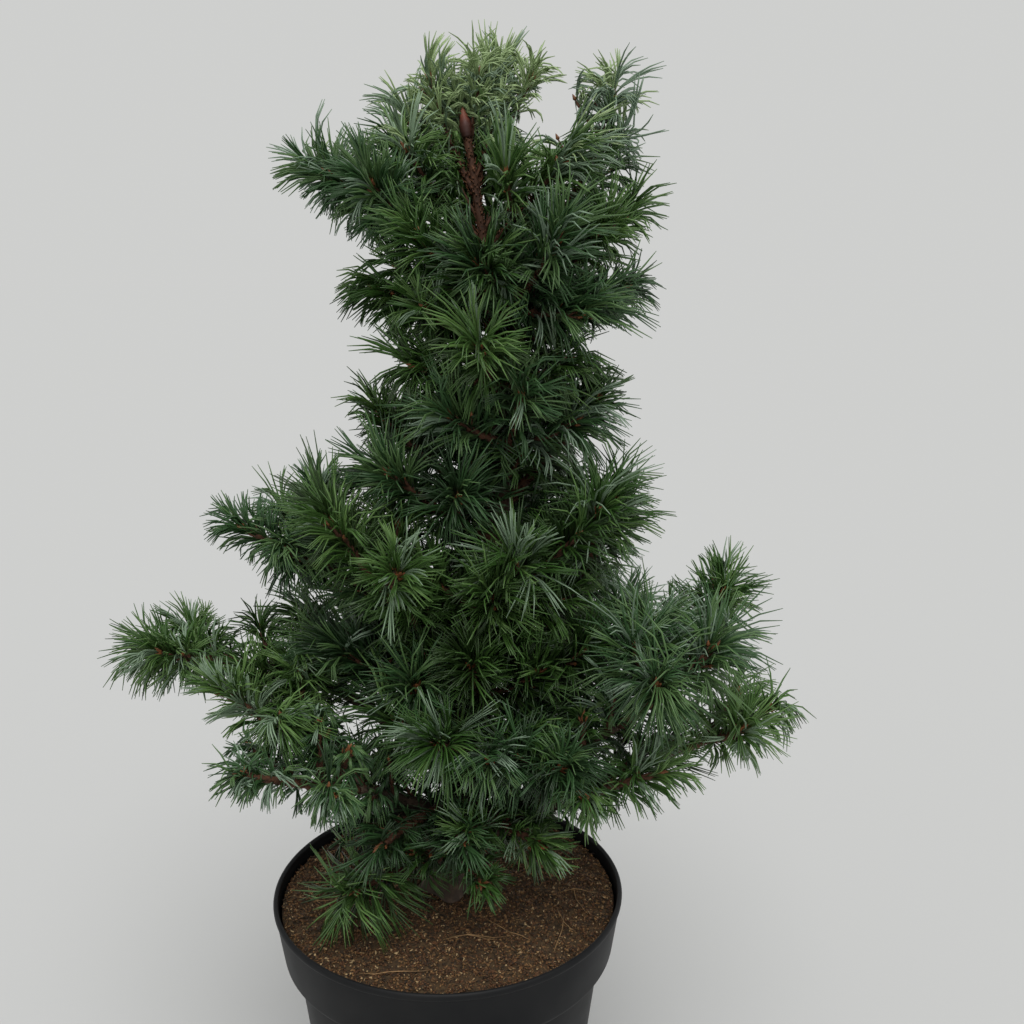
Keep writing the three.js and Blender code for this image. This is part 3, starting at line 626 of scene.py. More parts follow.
# Finishes.
class Finish:
    """A material in the making, with short ways to add its nodes."""

    def __init__(self, name, colour, roughness):
        self.material = bpy.data.materials.new(name)
        self.material.use_nodes = True
        self.nodes = self.material.node_tree.nodes
        self.links = self.material.node_tree.links
        self.shader = self.nodes["Principled BSDF"]
        self.shader.inputs["Base Color"].default_value = (*colour, 1)
        self.shader.inputs["Roughness"].default_value = roughness
        self.place = self.nodes.new("ShaderNodeTexCoord").outputs["Object"]

    def noise(self, size, detail=4.0):
        """Noise whose lumps are about the given size in millimetres."""
        node = self.nodes.new("ShaderNodeTexNoise")
        node.inputs["Scale"].default_value = 1 / (size * MM)
        node.inputs["Detail"].default_value = detail
        self.links.new(self.place, node.inputs["Vector"])
        return node.outputs[0]

    def ramp(self, source, *stops):
        """A band of colours, each at its place from 0 to 1."""
        node = self.nodes.new("ShaderNodeValToRGB")
        band = node.color_ramp.elements
        while len(band) < len(stops):
            band.new(0.5)
        for element, (position, colour) in zip(band, stops):
            element.position = position
            element.color = (*colour, 1)
        self.links.new(source, node.inputs["Fac"])
        return node.outputs["Color"]

    def between(self, share, first, second):
        """Mix two colours by a share."""
        node = self.nodes.new("ShaderNodeMix")
        node.data_type = "RGBA"
        self.links.new(share, node.inputs["Factor"])
        self.links.new(first, node.inputs[6])
        self.links.new(second, node.inputs[7])
        return node.outputs[2]

    def mapped(self, source, limits):
        """Map a value from one range to another, each limit under its socket's name."""
        node = self.nodes.new("ShaderNodeMapRange")
        for name, limit in limits.items():
            node.inputs[name].default_value = limit
        self.links.new(source, node.inputs["Value"])
        return node.outputs["Result"]

    def rise(self, low, high):
        """From 0 to 1 between two heights in millimetres."""
        split = self.nodes.new("ShaderNodeSeparateXYZ")
        self.links.new(self.place, split.inputs[0])
        return self.mapped(split.outputs["Z"], {"From Min": low * MM, "From Max": high * MM})

    def span(self, source, low, high):
        """Stretch a pattern that runs from 0 to 1 over two values."""
        return self.mapped(source, {"To Min": low, "To Max": high})

    def folds(self, source, colour, deep, pale, places=(0.3, 0.5, 0.7)):
        """A colour that is darkened in the folds of a pattern and lightened on its ridges."""
        low, middle, high = places
        return self.ramp(source, (low, shade(colour, deep)), (middle, colour), (high, shade(colour, pale)))

    def colour(self, source):
        self.links.new(source, self.shader.inputs["Base Color"])

    def roughness(self, source):
        self.links.new(source, self.shader.inputs["Roughness"])

    def shine(self, level):
        self.shader.inputs["Specular IOR Level"].default_value = level

    def bump(self, source, strength, depth):
        """Shade the surface by a pattern, its depth in millimetres."""
        node = self.nodes.new("ShaderNodeBump")
        node.inputs["Strength"].default_value = strength
        node.inputs["Distance"].default_value = depth * MM
        self.links.new(source, node.inputs["Height"])
        self.links.new(node.outputs["Normal"], self.shader.inputs["Normal"])


def shade(colour, factor):
    return tuple(min(1.0, channel * factor) for channel in colour)


def blended(colour, other, share):
    return tuple(lerp(a, b, share) for a, b in zip(colour, other))


DUST = (0.2, 0.19, 0.17)


def plastic_finish(settings):
    """Satin black plastic with a fine grain and the faint dust that handling leaves."""
    colour = tuple(settings.plastic)
    finish = Finish("pot_plastic", colour, roughness=0.5)
    clouds = finish.noise(size=55, detail=6)
    finish.colour(finish.ramp(clouds, (0.35, colour), (0.75, blended(colour, DUST, share=0.03))))
    finish.roughness(finish.span(finish.noise(size=30, detail=5), low=0.45, high=0.62))
    finish.shine(0.16)
    finish.bump(finish.noise(size=1.1, detail=2), strength=0.25, depth=0.12)
    return finish.material


YOUNG_BARK_FROM, YOUNG_BARK_AT = 430, 660


def bark_finish(settings):
    """Grey-brown plates low down, and the smoother red-brown bark of young wood towards the top."""
    old, young = tuple(settings.old_bark), tuple(settings.young_bark)
    finish = Finish("bark", old, roughness=0.85)
    lumps = finish.noise(size=6, detail=6)
    old_bark = finish.folds(lumps, old, deep=0.45, pale=1.7, places=(0.3, 0.55, 0.75))
    young_bark = finish.folds(lumps, young, deep=0.45, pale=1.8, places=(0.3, 0.55, 0.78))
    finish.colour(finish.between(finish.rise(YOUNG_BARK_FROM, YOUNG_BARK_AT), old_bark, young_bark))
    finish.roughness(finish.span(lumps, low=0.7, high=0.95))
    finish.bump(finish.noise(size=1.6, detail=5), strength=0.6, depth=0.8)
    return finish.material


def twig_finish(settings):
    """Red-brown young bark, darker in its folds."""
    young = tuple(settings.young_bark)
    finish = Finish("twig_bark", young, roughness=0.8)
    lumps = finish.noise(size=2.6, detail=4)
    finish.colour(finish.folds(lumps, young, deep=0.4, pale=1.7, places=(0.3, 0.5, 0.72)))
    finish.bump(finish.noise(size=0.8, detail=3), strength=0.5, depth=0.4)
    return finish.material


def speckled_finish(name, colour, size, roughness=0.75):
    """A colour that wavers between darker and paler spots."""
    finish = Finish(name, colour, roughness)
    finish.colour(finish.folds(finish.noise(size, detail=4), colour, deep=0.5, pale=1.6))
    finish.bump(finish.noise(size / 3, detail=3), strength=0.5, depth=0.3)
    return finish.material


# Settings that a user would change.
def colour_setting(name, description, default):
    return FloatVectorProperty(
        name=name, description=description, default=default, size=3, min=0, max=1, subtype="COLOR"
    )


class PineStageSettings(PropertyGroup):
    floor: colour_setting("Floor", "Colour of the plain floor", (0.543, 0.545, 0.541))
    sky: colour_setting("Surround", "Colour of the soft light from all round", (0.62, 0.625, 0.615))
    key: FloatProperty(name="Key light", description="Strength of the soft light", default=1.95, min=0)


class PinePotSettings(PropertyGroup):
    plastic: colour_setting("Plastic", "Colour of the pot", (0.0048, 0.0052, 0.0062))
    sides: IntProperty(name="Sides", description="How finely the pot is turned", default=128, min=16)


class PineMulchSettings(PropertyGroup):
    peat: colour_setting("Peat", "Colour of the fine mulch", (0.054, 0.031, 0.012))
    chips: IntProperty(name="Chips", description="How many bark chips lie on top", default=23000, min=0)
    straws: IntProperty(name="Straws", description="How many fallen needles lie there", default=16, min=0)


class PineBarkSettings(PropertyGroup):
    old_bark: colour_setting("Old bark", "Colour of the trunk low down", (0.075, 0.05, 0.034))
    young_bark: colour_setting("Young bark", "Colour of shoots and of the leader", (0.085, 0.034, 0.016))
    bud: colour_setting("Buds", "Colour of the resting buds", (0.2, 0.075, 0.026))
    relief: FloatProperty(
        name="Relief", description="Depth of the bark's plates, in millimetres", default=1.5, min=0, max=4
    )


class PineNeedleSettings(PropertyGroup):
    length: FloatProperty(
        name="Length", description="Length of a needle, in millimetres", default=53, min=10, max=90
    )
    radius: FloatProperty(
        name="Radius", description="Radius of a needle, in millimetres", default=0.73, min=0.2, max=2
    )
    spacing: FloatProperty(
        name="Spacing", description="Room between bundles of five along a shoot, in millimetres",
        default=1.32, min=0.5, max=5,
    )
    green: colour_setting("Green", "Deep green needles", (0.04, 0.1, 0.018))
    blue: colour_setting("Blue-green", "Blue-green needles", (0.038, 0.094, 0.03))
    light: colour_setting("Light green", "Lighter green needles", (0.056, 0.126, 0.025))


# Stage.
CAMERA_PLACE, CAMERA_PITCH, CAMERA_LENS, SENSOR = (0.0508, -0.7615, 0.7015), 77.37, 36.8, 36
FLOOR_SIZE = 200
KEY_FROM, KEY_BREADTH = (0.12, -0.8, 1.25), 45


class PINE_OT_stage(Operator):
    """Lay the plain floor, light it softly and set up the camera"""

    bl_idname = "pine.stage"
    bl_label = "Stage"

    def execute(self, context):
        settings = context.scene.pine_stage
        bpy.ops.object.select_all(action="DESELECT")
        bpy.ops.mesh.primitive_plane_add(size=FLOOR_SIZE)
        floor = context.object
        floor.name = "floor"
        finish = Finish("floor", tuple(settings.floor), roughness=0.9)
        finish.shine(0)
        floor.data.materials.append(finish.material)
        aim = Vector(KEY_FROM).to_track_quat("Z", "Y").to_euler()
        bpy.ops.object.light_add(type="SUN", rotation=aim)
        context.object.name = "key_light"
        context.object.data.energy = settings.key
        context.object.data.angle = math.radians(KEY_BREADTH)
        world = bpy.data.worlds.new("surround")
        world.use_nodes = True
        world.node_tree.nodes["Background"].inputs["Color"].default_value = (*settings.sky, 1)
        context.scene.world = world
        bpy.ops.object.camera_add(location=CAMERA_PLACE, rotation=(math.radians(CAMERA_PITCH), 0, 0))
        camera = context.object
        camera.data.lens = CAMERA_LENS
        camera.data.sensor_width = SENSOR
        camera.data.clip_start = 0.01
        context.scene.camera = camera
        context.scene.view_settings.view_transform = "Standard"
        return {"FINISHED"}


# Pot.
def lip_profile(steps=12):
    """The rolled lip as part of an upright oval, from outside below, over the top, to inside."""
    middle, half_width, half_depth = POT_RIM - LIP_WIDTH / 2, LIP_WIDTH / 2, LIP_DEPTH / 2
    for angle in np.radians(np.linspace(*LIP_ARC, steps)):
        yield middle + half_width * math.cos(angle), POT_HEIGHT - half_depth * (1 - math.sin(angle))


def softened(corner, before, after, room, steps=4):
    """Points of a short curve that rounds off a profile's corner."""
    corner, before, after = (np.array(point, float) for point in (corner, before, after))
    start = corner + unit(before - corner) * room
    end = corner + unit(after - corner) * room
    return [tuple(Line(start, corner, end).point(t)) for t in np.linspace(0, 1, steps)]


def pot_profile():
    """Radius and height, from the plate under the foot up the outside, over the lip and down inside."""
    body, collar, top = POT_BODY_TOP, POT_COLLAR_FOOT, POT_COLLAR_TOP
    lip = list(lip_profile())
    outside = [
        *POT_FOOT,
        *softened(body, POT_FOOT[-1], collar, POT_EDGE),
        *softened(collar, body, top, POT_EDGE),
        *softened(top, collar, lip[0], LIP_EDGE, 3),
    ]
    inside = [(r - POT_WALL, z) for r, z in (top, collar, body)]
    return [*outside, *lip, *inside, POT_FLOOR]


class PINE_OT_pot(Operator):
    """Turn the nursery pot with its stepped collar, rolled lip and foot ring"""

    bl_idname = "pine.pot"
    bl_label = "Pot"

    def execute(self, context):
        settings = context.scene.pine_pot
        rings = [((0, 0, z), r) for r, z in pot_profile()]
        pot = stacked_rings("nursery_pot", rings, settings.sides)
        bpy.ops.object.shade_smooth_by_angle(angle=math.radians(POT_SMOOTH))
        finish_piece(pot, plastic_finish(settings), "pot_plastic", "pot")
        return {"FINISHED"}


# Mulch.
def soil_height(x, y):
    """A low uneven mound, level round the trunk."""
    r = np.hypot(x, y)
    mound = SOIL_MOUND * np.clip(1 - (r - SOIL_FLAT) / (SOIL_EDGE - SOIL_FLAT), 0, 1)
    ripple = CRUMB_HEIGHT * np.sin(x * CRUMB_ALONG_X + CRUMB_SHIFT) * np.cos(y * CRUMB_ALONG_Y)
    loose = np.clip((r - SOIL_FLAT) / CRUMB_FADE, 0, 1) * np.clip((SOIL_EDGE - r) / CRUMB_FADE, 0, 1)
    return SOIL_TOP + mound + ripple * loose


BED_RINGS, BED_SIDES, BED_INSET, BED_LUMPS = 44, 96, 0.6, (3, 2.8)
BED_TOP_DEPTH, BED_EDGE, LOOSE_EDGE = 3, 1, 1.5
BED_TOP_RADII, BED_SHOULDER_DEPTH = (SOIL_EDGE - 2, 1), 1
CHIP_TONES = {  # share of the chips, and their colour
    "dark": (0.26, (0.034, 0.019, 0.008)),
    "rust": (0.44, (0.1, 0.042, 0.014)),
    "tan": (0.24, (0.19, 0.1, 0.036)),
    "pale": (0.06, (0.38, 0.26, 0.13)),
}
CHIP_LEAST, CHIP_MOST = np.array([1.2, 0.7, 0.5]), np.array([4.0, 2.1, 1.3])
CHIP_BREAK, CHIP_TILT, CHIP_HEIGHTS = (0.5, 1.3), 0.4, (-0.3, 1.2)
CHIP_OUTLINE = ((-0.6, -0.4), (0.55, -0.45), (0.05, 0.6))
CHIP_FACES = np.array(
    [[0, 2, 1], [3, 4, 5], [0, 1, 3], [1, 4, 3], [1, 2, 4], [2, 5, 4], [2, 0, 5], [0, 3, 5]]
)
STRAW_REACH, STRAW_MOST, STRAW_LENGTHS, STRAW_BOW, STRAW_HEIGHT = 118, 124, (12, 26), 5, 1.9
STRAW_GIRTH, STRAW_COLOUR = (0.2, 0.36, 0.4, 0.4, 0.34, 0.15), (0.24, 0.14, 0.06)


def is_on_top(corners, edge):
    """Whether the bed's corners lie on its top, and no nearer its edge than this."""
    is_high = corners[:, 2] > SOIL_TOP - BED_TOP_DEPTH
    return is_high & (np.hypot(corners[:, 0], corners[:, 1]) < SOIL_EDGE - edge)


def chip_forms(rng, places, sizes):
    """Flat three-cornered flakes, each broken in its own way and lying at its own tilt, as one form."""
    count = len(places)
    flake = np.array([[x, y, z] for z in (-0.5, 0.5) for x, y in CHIP_OUTLINE])
    corners = flake[None] * sizes[:, None] * rng.uniform(*CHIP_BREAK, (count, 6, 3))
    turn = rng.uniform(0, 2 * np.pi, count)
    tilt = rng.normal(0, CHIP_TILT, (count, 2))
    along = unit(np.stack([np.cos(turn), np.sin(turn), tilt[:, 0]], axis=1))
    normal = unit(np.cross(along, np.stack([-np.sin(turn), np.cos(turn), tilt[:, 1]], axis=1)))
    axes = np.stack([along, np.cross(normal, along), normal], axis=1)
    corners = np.einsum("nkc,ncd->nkd", corners, axes) + places[:, None]
    return corners.reshape(-1, 3), repeated(CHIP_FACES, count, 6)


class PINE_OT_mulch(Operator):
    """Fill the pot with peat, scatter bark chips over it and drop some old needles"""

    bl_idname = "pine.mulch"
    bl_label = "Mulch"

    def execute(self, context):
        settings = context.scene.pine_mulch
        top = [(r, float(soil_height(r, 0))) for r in np.linspace(*BED_TOP_RADII, BED_RINGS)]
        rings = [((0, 0, z), r) for r, z in [*self.side_profile(), *top]]
        bed = stacked_rings("mulch_bed", rings, BED_SIDES)
        corners = corners_of(bed)
        on_top = is_on_top(corners, BED_EDGE)
        corners[on_top, 2] = soil_height(corners[on_top, 0], corners[on_top, 1])
        move_corners(bed, corners)
        subdivide(bed, 1)
        smooth = corners_of(bed)
        roughen(bed, "CLOUDS", *BED_LUMPS, noise_depth=3)
        loose = is_on_top(smooth, LOOSE_EDGE)[:, None]
        move_corners(bed, np.where(loose, corners_of(bed), smooth))
        bpy.ops.object.shade_smooth()
        peat = speckled_finish("peat", tuple(settings.peat), size=3, roughness=0.95)
        finish_piece(bed, peat, "bark_mulch", "soil")
        self.scatter_chips(settings.chips)
        self.drop_straws(settings.straws)
        return {"FINISHED"}

    def side_profile(self, steps=14):
        """The side, inside the pot's wall, in steps so short that smoothing doesn't push it through."""
        for (r, z), (next_r, next_z) in zip(SOIL_SIDE, SOIL_SIDE[1:]):
            for t in np.linspace(0, 1, steps, endpoint=False):
                yield lerp(r, next_r, t) - BED_INSET, lerp(z, next_z, t)
        yield SOIL_EDGE - BED_INSET, SOIL_TOP - BED_SHOULDER_DEPTH

    def scatter_chips(self, total):
        rng = np.random.default_rng(CHIP_SEED)
        for name, (share, colour) in CHIP_TONES.items():
            count = int(total * share)
            r = (SOIL_EDGE - LOOSE_EDGE) * np.sqrt(rng.random(count))
            around = rng.uniform(0, 2 * np.pi, count)
            x, y = r * np.cos(around), r * np.sin(around)
            sizes = lerp(CHIP_LEAST, CHIP_MOST, rng.random((count, 3)) ** 2)
            height = soil_height(x, y) + rng.uniform(*CHIP_HEIGHTS, count)
            form = chip_forms(rng, np.column_stack([x, y, height]), sizes)
            chips = joined_piece("chips_" + name, [form])
            finish_piece(chips, speckled_finish("chip_" + name, colour, size=2.5), "bark_mulch")

    def drop_straws(self, count):
        rng = np.random.default_rng(LITTER_SEED)
        forms = []
        for _ in range(count):
            r = STRAW_REACH * math.sqrt(rng.random())
            around, turn = rng.uniform(0, 360), rng.uniform(0, 180)
            middle = heading(around, 0) * r
            reach = heading(turn, 0) * rng.uniform(*STRAW_LENGTHS)
            bow = heading(turn + 90, 0) * rng.normal(0, STRAW_BOW)
            line = Line(middle - reach, middle + bow, middle + reach)
            points = line.point(np.linspace(0, 1, len(STRAW_GIRTH)))
            inside = np.minimum(1, STRAW_MOST / np.hypot(points[:, 0], points[:, 1]))
            points[:, :2] *= inside[:, None]
            points[:, 2] = soil_height(points[:, 0], points[:, 1]) + STRAW_HEIGHT
            forms.append(tube_form(points, STRAW_GIRTH, 4, 0))
        straws = joined_piece("fallen_needles", forms)
        finish_piece(straws, speckled_finish("straw", STRAW_COLOUR, size=9), "bark_mulch")


# Trunk and leader.
TRUNK_SIDES, TRUNK_STEP = 32, 5
CUT_RINGS, FIRST_RING = (0, 0.0012), 0.008
TRUNK_PLATES, TRUNK_CRACKS, BOUGH_PLATES, BOUGH_CRACKS = (7, 1), (2.6, 0.6), (5, 0.6), (2.2, 0.5)
LEADER_SLIMNESS, LEADER_SLIM_SHARES, LEADER_RISE = 0.68, (0.6, 0.82), 8
LEADER_END = LEADER_BUD_FROM + LEADER_RISE / TRUNK_LENGTH


def bark_radius(share):
    """The bark follows the trunk's own radius, a little slimmer towards the leader."""
    return trunk_radius(share) * np.interp(share, LEADER_SLIM_SHARES, (1, LEADER_SLIMNESS))


def raise_bark(piece, plates, cracks, relief):
    """Bark plates with finer cracks over them, each a size in mm and a share of the relief."""
    roughen(piece, "VORONOI", plates[0], relief * plates[1], weight_1=-1, weight_2=1)
    roughen(piece, "CLOUDS", cracks[0], relief * cracks[1], noise_depth=3)
    bpy.ops.object.shade_smooth()


class PINE_OT_trunk(Operator):
    """Raise the trunk ring by ring, with root flare, buttresses and plated bark"""

    bl_idname = "pine.trunk"
    bl_label = "Trunk"

    def execute(self, context):
        settings = context.scene.pine_bark
        steps = round(TRUNK_LENGTH * LEADER_END / TRUNK_STEP)
        shares = [*CUT_RINGS, *np.linspace(FIRST_RING, LEADER_END, steps)]
        rings = [(tuple(trunk_point(share)), float(bark_radius(share))) for share in shares]
        trunk = stacked_rings("trunk_bark", rings, TRUNK_SIDES)
        corners = corners_of(trunk)
        share = trunk_share(corners[:, 2])
        centre = trunk_point(share)
        around = np.arctan2(corners[:, 0] - centre[:, 0], corners[:, 1] - centre[:, 1])
        depth = BUTTRESS_DEPTH * np.exp(-share * BUTTRESS_FADE)
        swelling = 1 + depth * np.cos(BUTTRESSES * around + BUTTRESS_TURN)
        corners[:, :2] = centre[:, :2] + (corners[:, :2] - centre[:, :2]) * swelling[:, None]
        move_corners(trunk, corners)
        subdivide(trunk, 1)
        raise_bark(trunk, TRUNK_PLATES, TRUNK_CRACKS, settings.relief)
        finish_piece(trunk, bark_finish(settings), "bark", "trunk")
        return {"FINISHED"}


# Boughs.
BOUGH_CUTS, BOUGH_ROUNDNESS, BOUGH_STEPS = 9, 5, 12


class PINE_OT_boughs(Operator):
    """Bend each tapering bough along its line and give it bark"""

    bl_idname = "pine.boughs"
    bl_label = "Boughs"

    def execute(self, context):
        settings = context.scene.pine_bark
        finish = bark_finish(settings)
        for name, (bough, _) in BOUGHS.items():
            limb = self.bent_limb("limb_" + name, bough_line(bough), bough_radius(bough))
            raise_bark(limb, BOUGH_PLATES, BOUGH_CRACKS, settings.relief)
            finish_piece(limb, finish, "bark", "bough_" + name)
        return {"FINISHED"}

    def bent_limb(self, name, line, radius_at):
        """A curve between two knots, cut into finer ones that carry the taper, and made a mesh."""
        bpy.ops.object.select_all(action="DESELECT")
        bpy.ops.curve.primitive_bezier_curve_add()
        limb = bpy.context.object
        limb.name = limb.data.name = name
        first, last = limb.data.splines[0].bezier_points
        towards = 2 / 3
        for knot, place, before, after in (
            (first, line.start, line.start, lerp(line.start, line.bend, towards)),
            (last, line.end, lerp(line.end, line.bend, towards), line.end),
        ):
            knot.handle_left_type = knot.handle_right_type = "FREE"
            knot.co = place * MM
            knot.handle_left = before * MM
            knot.handle_right = after * MM
        bpy.ops.object.mode_set(mode="EDIT")
        bpy.ops.curve.select_all(action="SELECT")
        bpy.ops.curve.subdivide(number_cuts=BOUGH_CUTS)
        bpy.ops.object.mode_set(mode="OBJECT")
        knots = limb.data.splines[0].bezier_points
        for i, knot in enumerate(knots):
            knot.radius = float(radius_at(i / (len(knots) - 1)))
        limb.data.bevel_depth = MM
        limb.data.bevel_resolution = BOUGH_ROUNDNESS
        limb.data.use_fill_caps = True
        limb.data.resolution_u = BOUGH_STEPS
        bpy.ops.object.convert(target="MESH")
        bpy.ops.object.mode_set(mode="EDIT")
        bpy.ops.mesh.select_all(action="SELECT")
        bpy.ops.mesh.remove_doubles(threshold=0.01 * MM)
        face_outwards()
        return limb


# Twigs and their scales.
TWIG_RING, LEAST_RINGS, TWIG_SWELL, TWIG_SIDES, TWIG_UNEVEN = 3.4, 4, 0.18, 6, (0.86, 1.14)
SLIM_FROM, SLIM_AT, SLIMNESS = 640, 760, 0.62


def twig_form(twig, rng):
    """A twig with a low step at each ring, where old needles and scales have left their seats."""
    rings = max(LEAST_RINGS, round(twig.length / TWIG_RING))
    shares = np.linspace(0, 1, rings)
    points = twig.line.point(shares)
    slim = np.interp(points[:, 2], [SLIM_FROM, SLIM_AT], [1, SLIMNESS])
    girth = tiled(twig.radius(shares) * slim, TWIG_SWELL)
    return tube_form(points, girth[:, None] * rng.uniform(*TWIG_UNEVEN, (rings, TWIG_SIDES)), TWIG_SIDES)


SCALE_SPACING, SCALE_SIZES, SCALE_STRAY, SCALE_TILT = 0.55, (0.5, 1.4), 0.6, 0.22
SCALE_LENGTH, SCALE_WIDTH, SCALE_LEAN, SCALE_DEPTH, SCALE_BACK, SCALE_SEAT = 3.2, 2.0, 0.24, 0.5, 0.3, 0.92
SCALES_FROM, SCALES_PAST_BARE, LEADER_SCALES_TO = 0.02, 0.1, 0.98
LEADER_SCALE, LEADER_SCALE_SPACING, SCALE_RUST = 0.75, 0.8, 0.35
LEADER_BARE_FROM = 0.78


def scale_form(root, along, outward, size):
    """A thin pointed scale that leans off the bark."""
    across = unit(np.cross(along, outward))
    tip = root + along * SCALE_LENGTH * size + outward * SCALE_LENGTH * SCALE_LEAN * size
    half = across * SCALE_WIDTH / 2 * size
    back = root - outward * SCALE_DEPTH + along * SCALE_LENGTH * SCALE_BACK * size
    corners = np.stack([root + half, root - half, back, tip])
    return corners, np.array([[0, 3, 1], [0, 2, 3], [1, 3, 2], [0, 1, 2]])


def bark_scales(line, radius_at, shares, rng, size=1.0):
    """Scales round a limb, at the golden angle from one to the next."""
    along = line.tangent(shares)
    around = GOLDEN_ANGLE * np.arange(len(shares)) + rng.normal(0, SCALE_STRAY, len(shares))
    outward = outward_from(along, around)
    roots = line.point(shares) + outward * radius_at(shares)[:, None] * SCALE_SEAT
    along = unit(along + rng.normal(0, SCALE_TILT, along.shape))
    sizes = rng.uniform(*SCALE_SIZES, len(shares)) * size
    return [scale_form(*row) for row in zip(roots, along, outward, sizes)]


def leader_line():
    """The bare upper part of the trunk as a line of its own, and its radius."""
    foot, middle, top = trunk_point(np.linspace(LEADER_BARE_FROM, LEADER_END, 3))
    line = Line(foot, 2 * middle - (foot + top) / 2, top)
    return line, lambda share: bark_radius(lerp(LEADER_BARE_FROM, LEADER_END, np.asarray(share)))


class PINE_OT_twigs(Operator):
    """Grow the stems, side shoots and finer twigs of every mass, with their scales"""

    bl_idname = "pine.twigs"
    bl_label = "Twigs"

    def execute(self, context):
        settings = context.scene.pine_bark
        rng = np.random.default_rng(SCALE_SEED)
        twigs = joined_piece("twigs", [twig_form(twig, rng) for twig in grown_twigs()])
        finish_piece(twigs, twig_finish(settings), "bark")
        forms = []
        for twig in grown_shoots():
            end = twig.bare + SCALES_PAST_BARE
            shares = np.linspace(SCALES_FROM, end, round(twig.length * end / SCALE_SPACING))
            forms.extend(bark_scales(twig.line, twig.radius, shares, rng))
        leader, radius_at = leader_line()
        bare = TRUNK_LENGTH * (LEADER_END - LEADER_BARE_FROM)
        count = round(bare / (SCALE_SPACING * LEADER_SCALE_SPACING))
        shares = np.linspace(0, LEADER_SCALES_TO, count)
        forms.extend(bark_scales(leader, radius_at, shares, rng, LEADER_SCALE))
        scales = joined_piece("twig_scales", forms)
        colour = blended(tuple(settings.young_bark), tuple(settings.bud), SCALE_RUST)
        finish_piece(scales, speckled_finish("scale", colour, size=4), "bark")
        return {"FINISHED"}


# Buds.
BUD_LENGTH, BUD_RADIUS, BUD_POINT, BUD_RINGS, BUD_SIDES, BUD_TILES = 8.5, 2.3, 0.05, 5, 5, 0.1
BUD_AT, BUD_NARROW_FOOT, BUD_FULL_LOW, BUD_TAPER = 0.97, 0.12, 0.72, 0.35
SIDE_BUDS, SIDE_BUD_SIZES, SIDE_BUD_LEAN, SIDE_BUD_STRAY = 4, (0.55, 0.8), (0.2, 0.42), (-0.2, 0.2)
SIDE_BUD_BACK, SIDE_BUD_OUT = 1.5, BUD_RADIUS * 0.6
FINE_BUD_LENGTH, FINE_BUD_RADIUS = BUD_LENGTH * 0.55, BUD_RADIUS * 0.7
LEADER_BUD_RINGS, LEADER_BUD_SIDES, LEADER_BUD_SEAT, LEADER_BUD_TILES = 14, 12, 2, 0.07
LEADER_BUD_GIRTH = ((0, 0.66), (0.15, 0.9), (0.38, 1), (0.52, 0.82), (0.64, 0.64), (0.86, 0.32), (1, 0.02))
BUD_ROUGHNESS, LEADER_BUD_COLOUR = 0.55, (0.3, 0.12, 0.09)
LEADER_BUD_COLOURS = (
    (0.0, (0.04, 0.012, 0.008)), (0.42, (0.08, 0.02, 0.013)),
    (0.6, (0.22, 0.06, 0.038)), (1.0, (0.48, 0.2, 0.13)),
)


def bud_form(root, along, length, radius):
    """A pointed bud whose scales overlap like tiles."""
    shares = np.linspace(0, 1, BUD_RINGS)
    swelling = np.sin(np.pi * lerp(BUD_NARROW_FOOT, 1, shares) ** BUD_FULL_LOW)
    girth = swelling * (1 - BUD_TAPER * shares)
    points = root + along * shares[:, None] * length
    return tube_form(points, np.maximum(tiled(girth, BUD_TILES) * radius, BUD_POINT), BUD_SIDES)


def bud_cluster(root, along, rng):
    """A main bud with smaller ones round its foot."""
    forms = [bud_form(root - along, along, BUD_LENGTH, BUD_RADIUS)]
    for i in range(SIDE_BUDS):
        outward = outward_from(along, 2 * math.pi * (i + rng.uniform(*SIDE_BUD_STRAY)) / SIDE_BUDS)
        leaning = unit(along + outward * rng.uniform(*SIDE_BUD_LEAN))
        size = rng.uniform(*SIDE_BUD_SIZES)
        start = root - along * SIDE_BUD_BACK + outward * SIDE_BUD_OUT
        forms.append(bud_form(start, leaning, BUD_LENGTH * size, BUD_RADIUS * size))
    return forms


class PINE_OT_buds(Operator):
    """Set resting buds on every shoot and a large one on the leader"""

    bl_idname = "pine.buds"
    bl_label = "Buds"

    def execute(self, context):
        settings = context.scene.pine_bark
        rng = np.random.default_rng(BUD_SEED)
        forms = []
        for twig in grown_twigs():
            root, along = twig.line.point(BUD_AT), twig.line.tangent(1.0)
            if twig.order >= 2:
                forms.append(bud_form(root, along, FINE_BUD_LENGTH, FINE_BUD_RADIUS))
            else:
                forms.extend(bud_cluster(root, along, rng))
        buds = joined_piece("buds", forms)
        finish = speckled_finish("bud", tuple(settings.bud), size=2.5, roughness=BUD_ROUGHNESS)
        finish_piece(buds, finish, "bark")
        self.leader_bud()
        return {"FINISHED"}

    def leader_bud(self):
        foot = trunk_point(LEADER_END)
        lean = unit(trunk_point(1.0) - trunk_point(LEADER_BUD_FROM))
        shares = np.linspace(0, 1, LEADER_BUD_RINGS)
        girth = tiled(np.interp(shares, *zip(*LEADER_BUD_GIRTH)), LEADER_BUD_TILES) * LEADER_BUD_SWELL
        length = LEADER_BUD_LENGTH + LEADER_BUD_SEAT
        points = foot - lean * LEADER_BUD_SEAT + lean * shares[:, None] * length
        bud = joined_piece("leader_bud", [tube_form(points, girth, LEADER_BUD_SIDES)])
        finish = Finish("leader_bud", LEADER_BUD_COLOUR, BUD_ROUGHNESS)
        height = finish.rise(foot[2], foot[2] + LEADER_BUD_LENGTH)
        finish.colour(finish.ramp(height, *LEADER_BUD_COLOURS))
        finish.bump(finish.noise(size=1.2, detail=3), strength=0.4, depth=0.4)
        finish_piece(bud, finish.material, "bark")


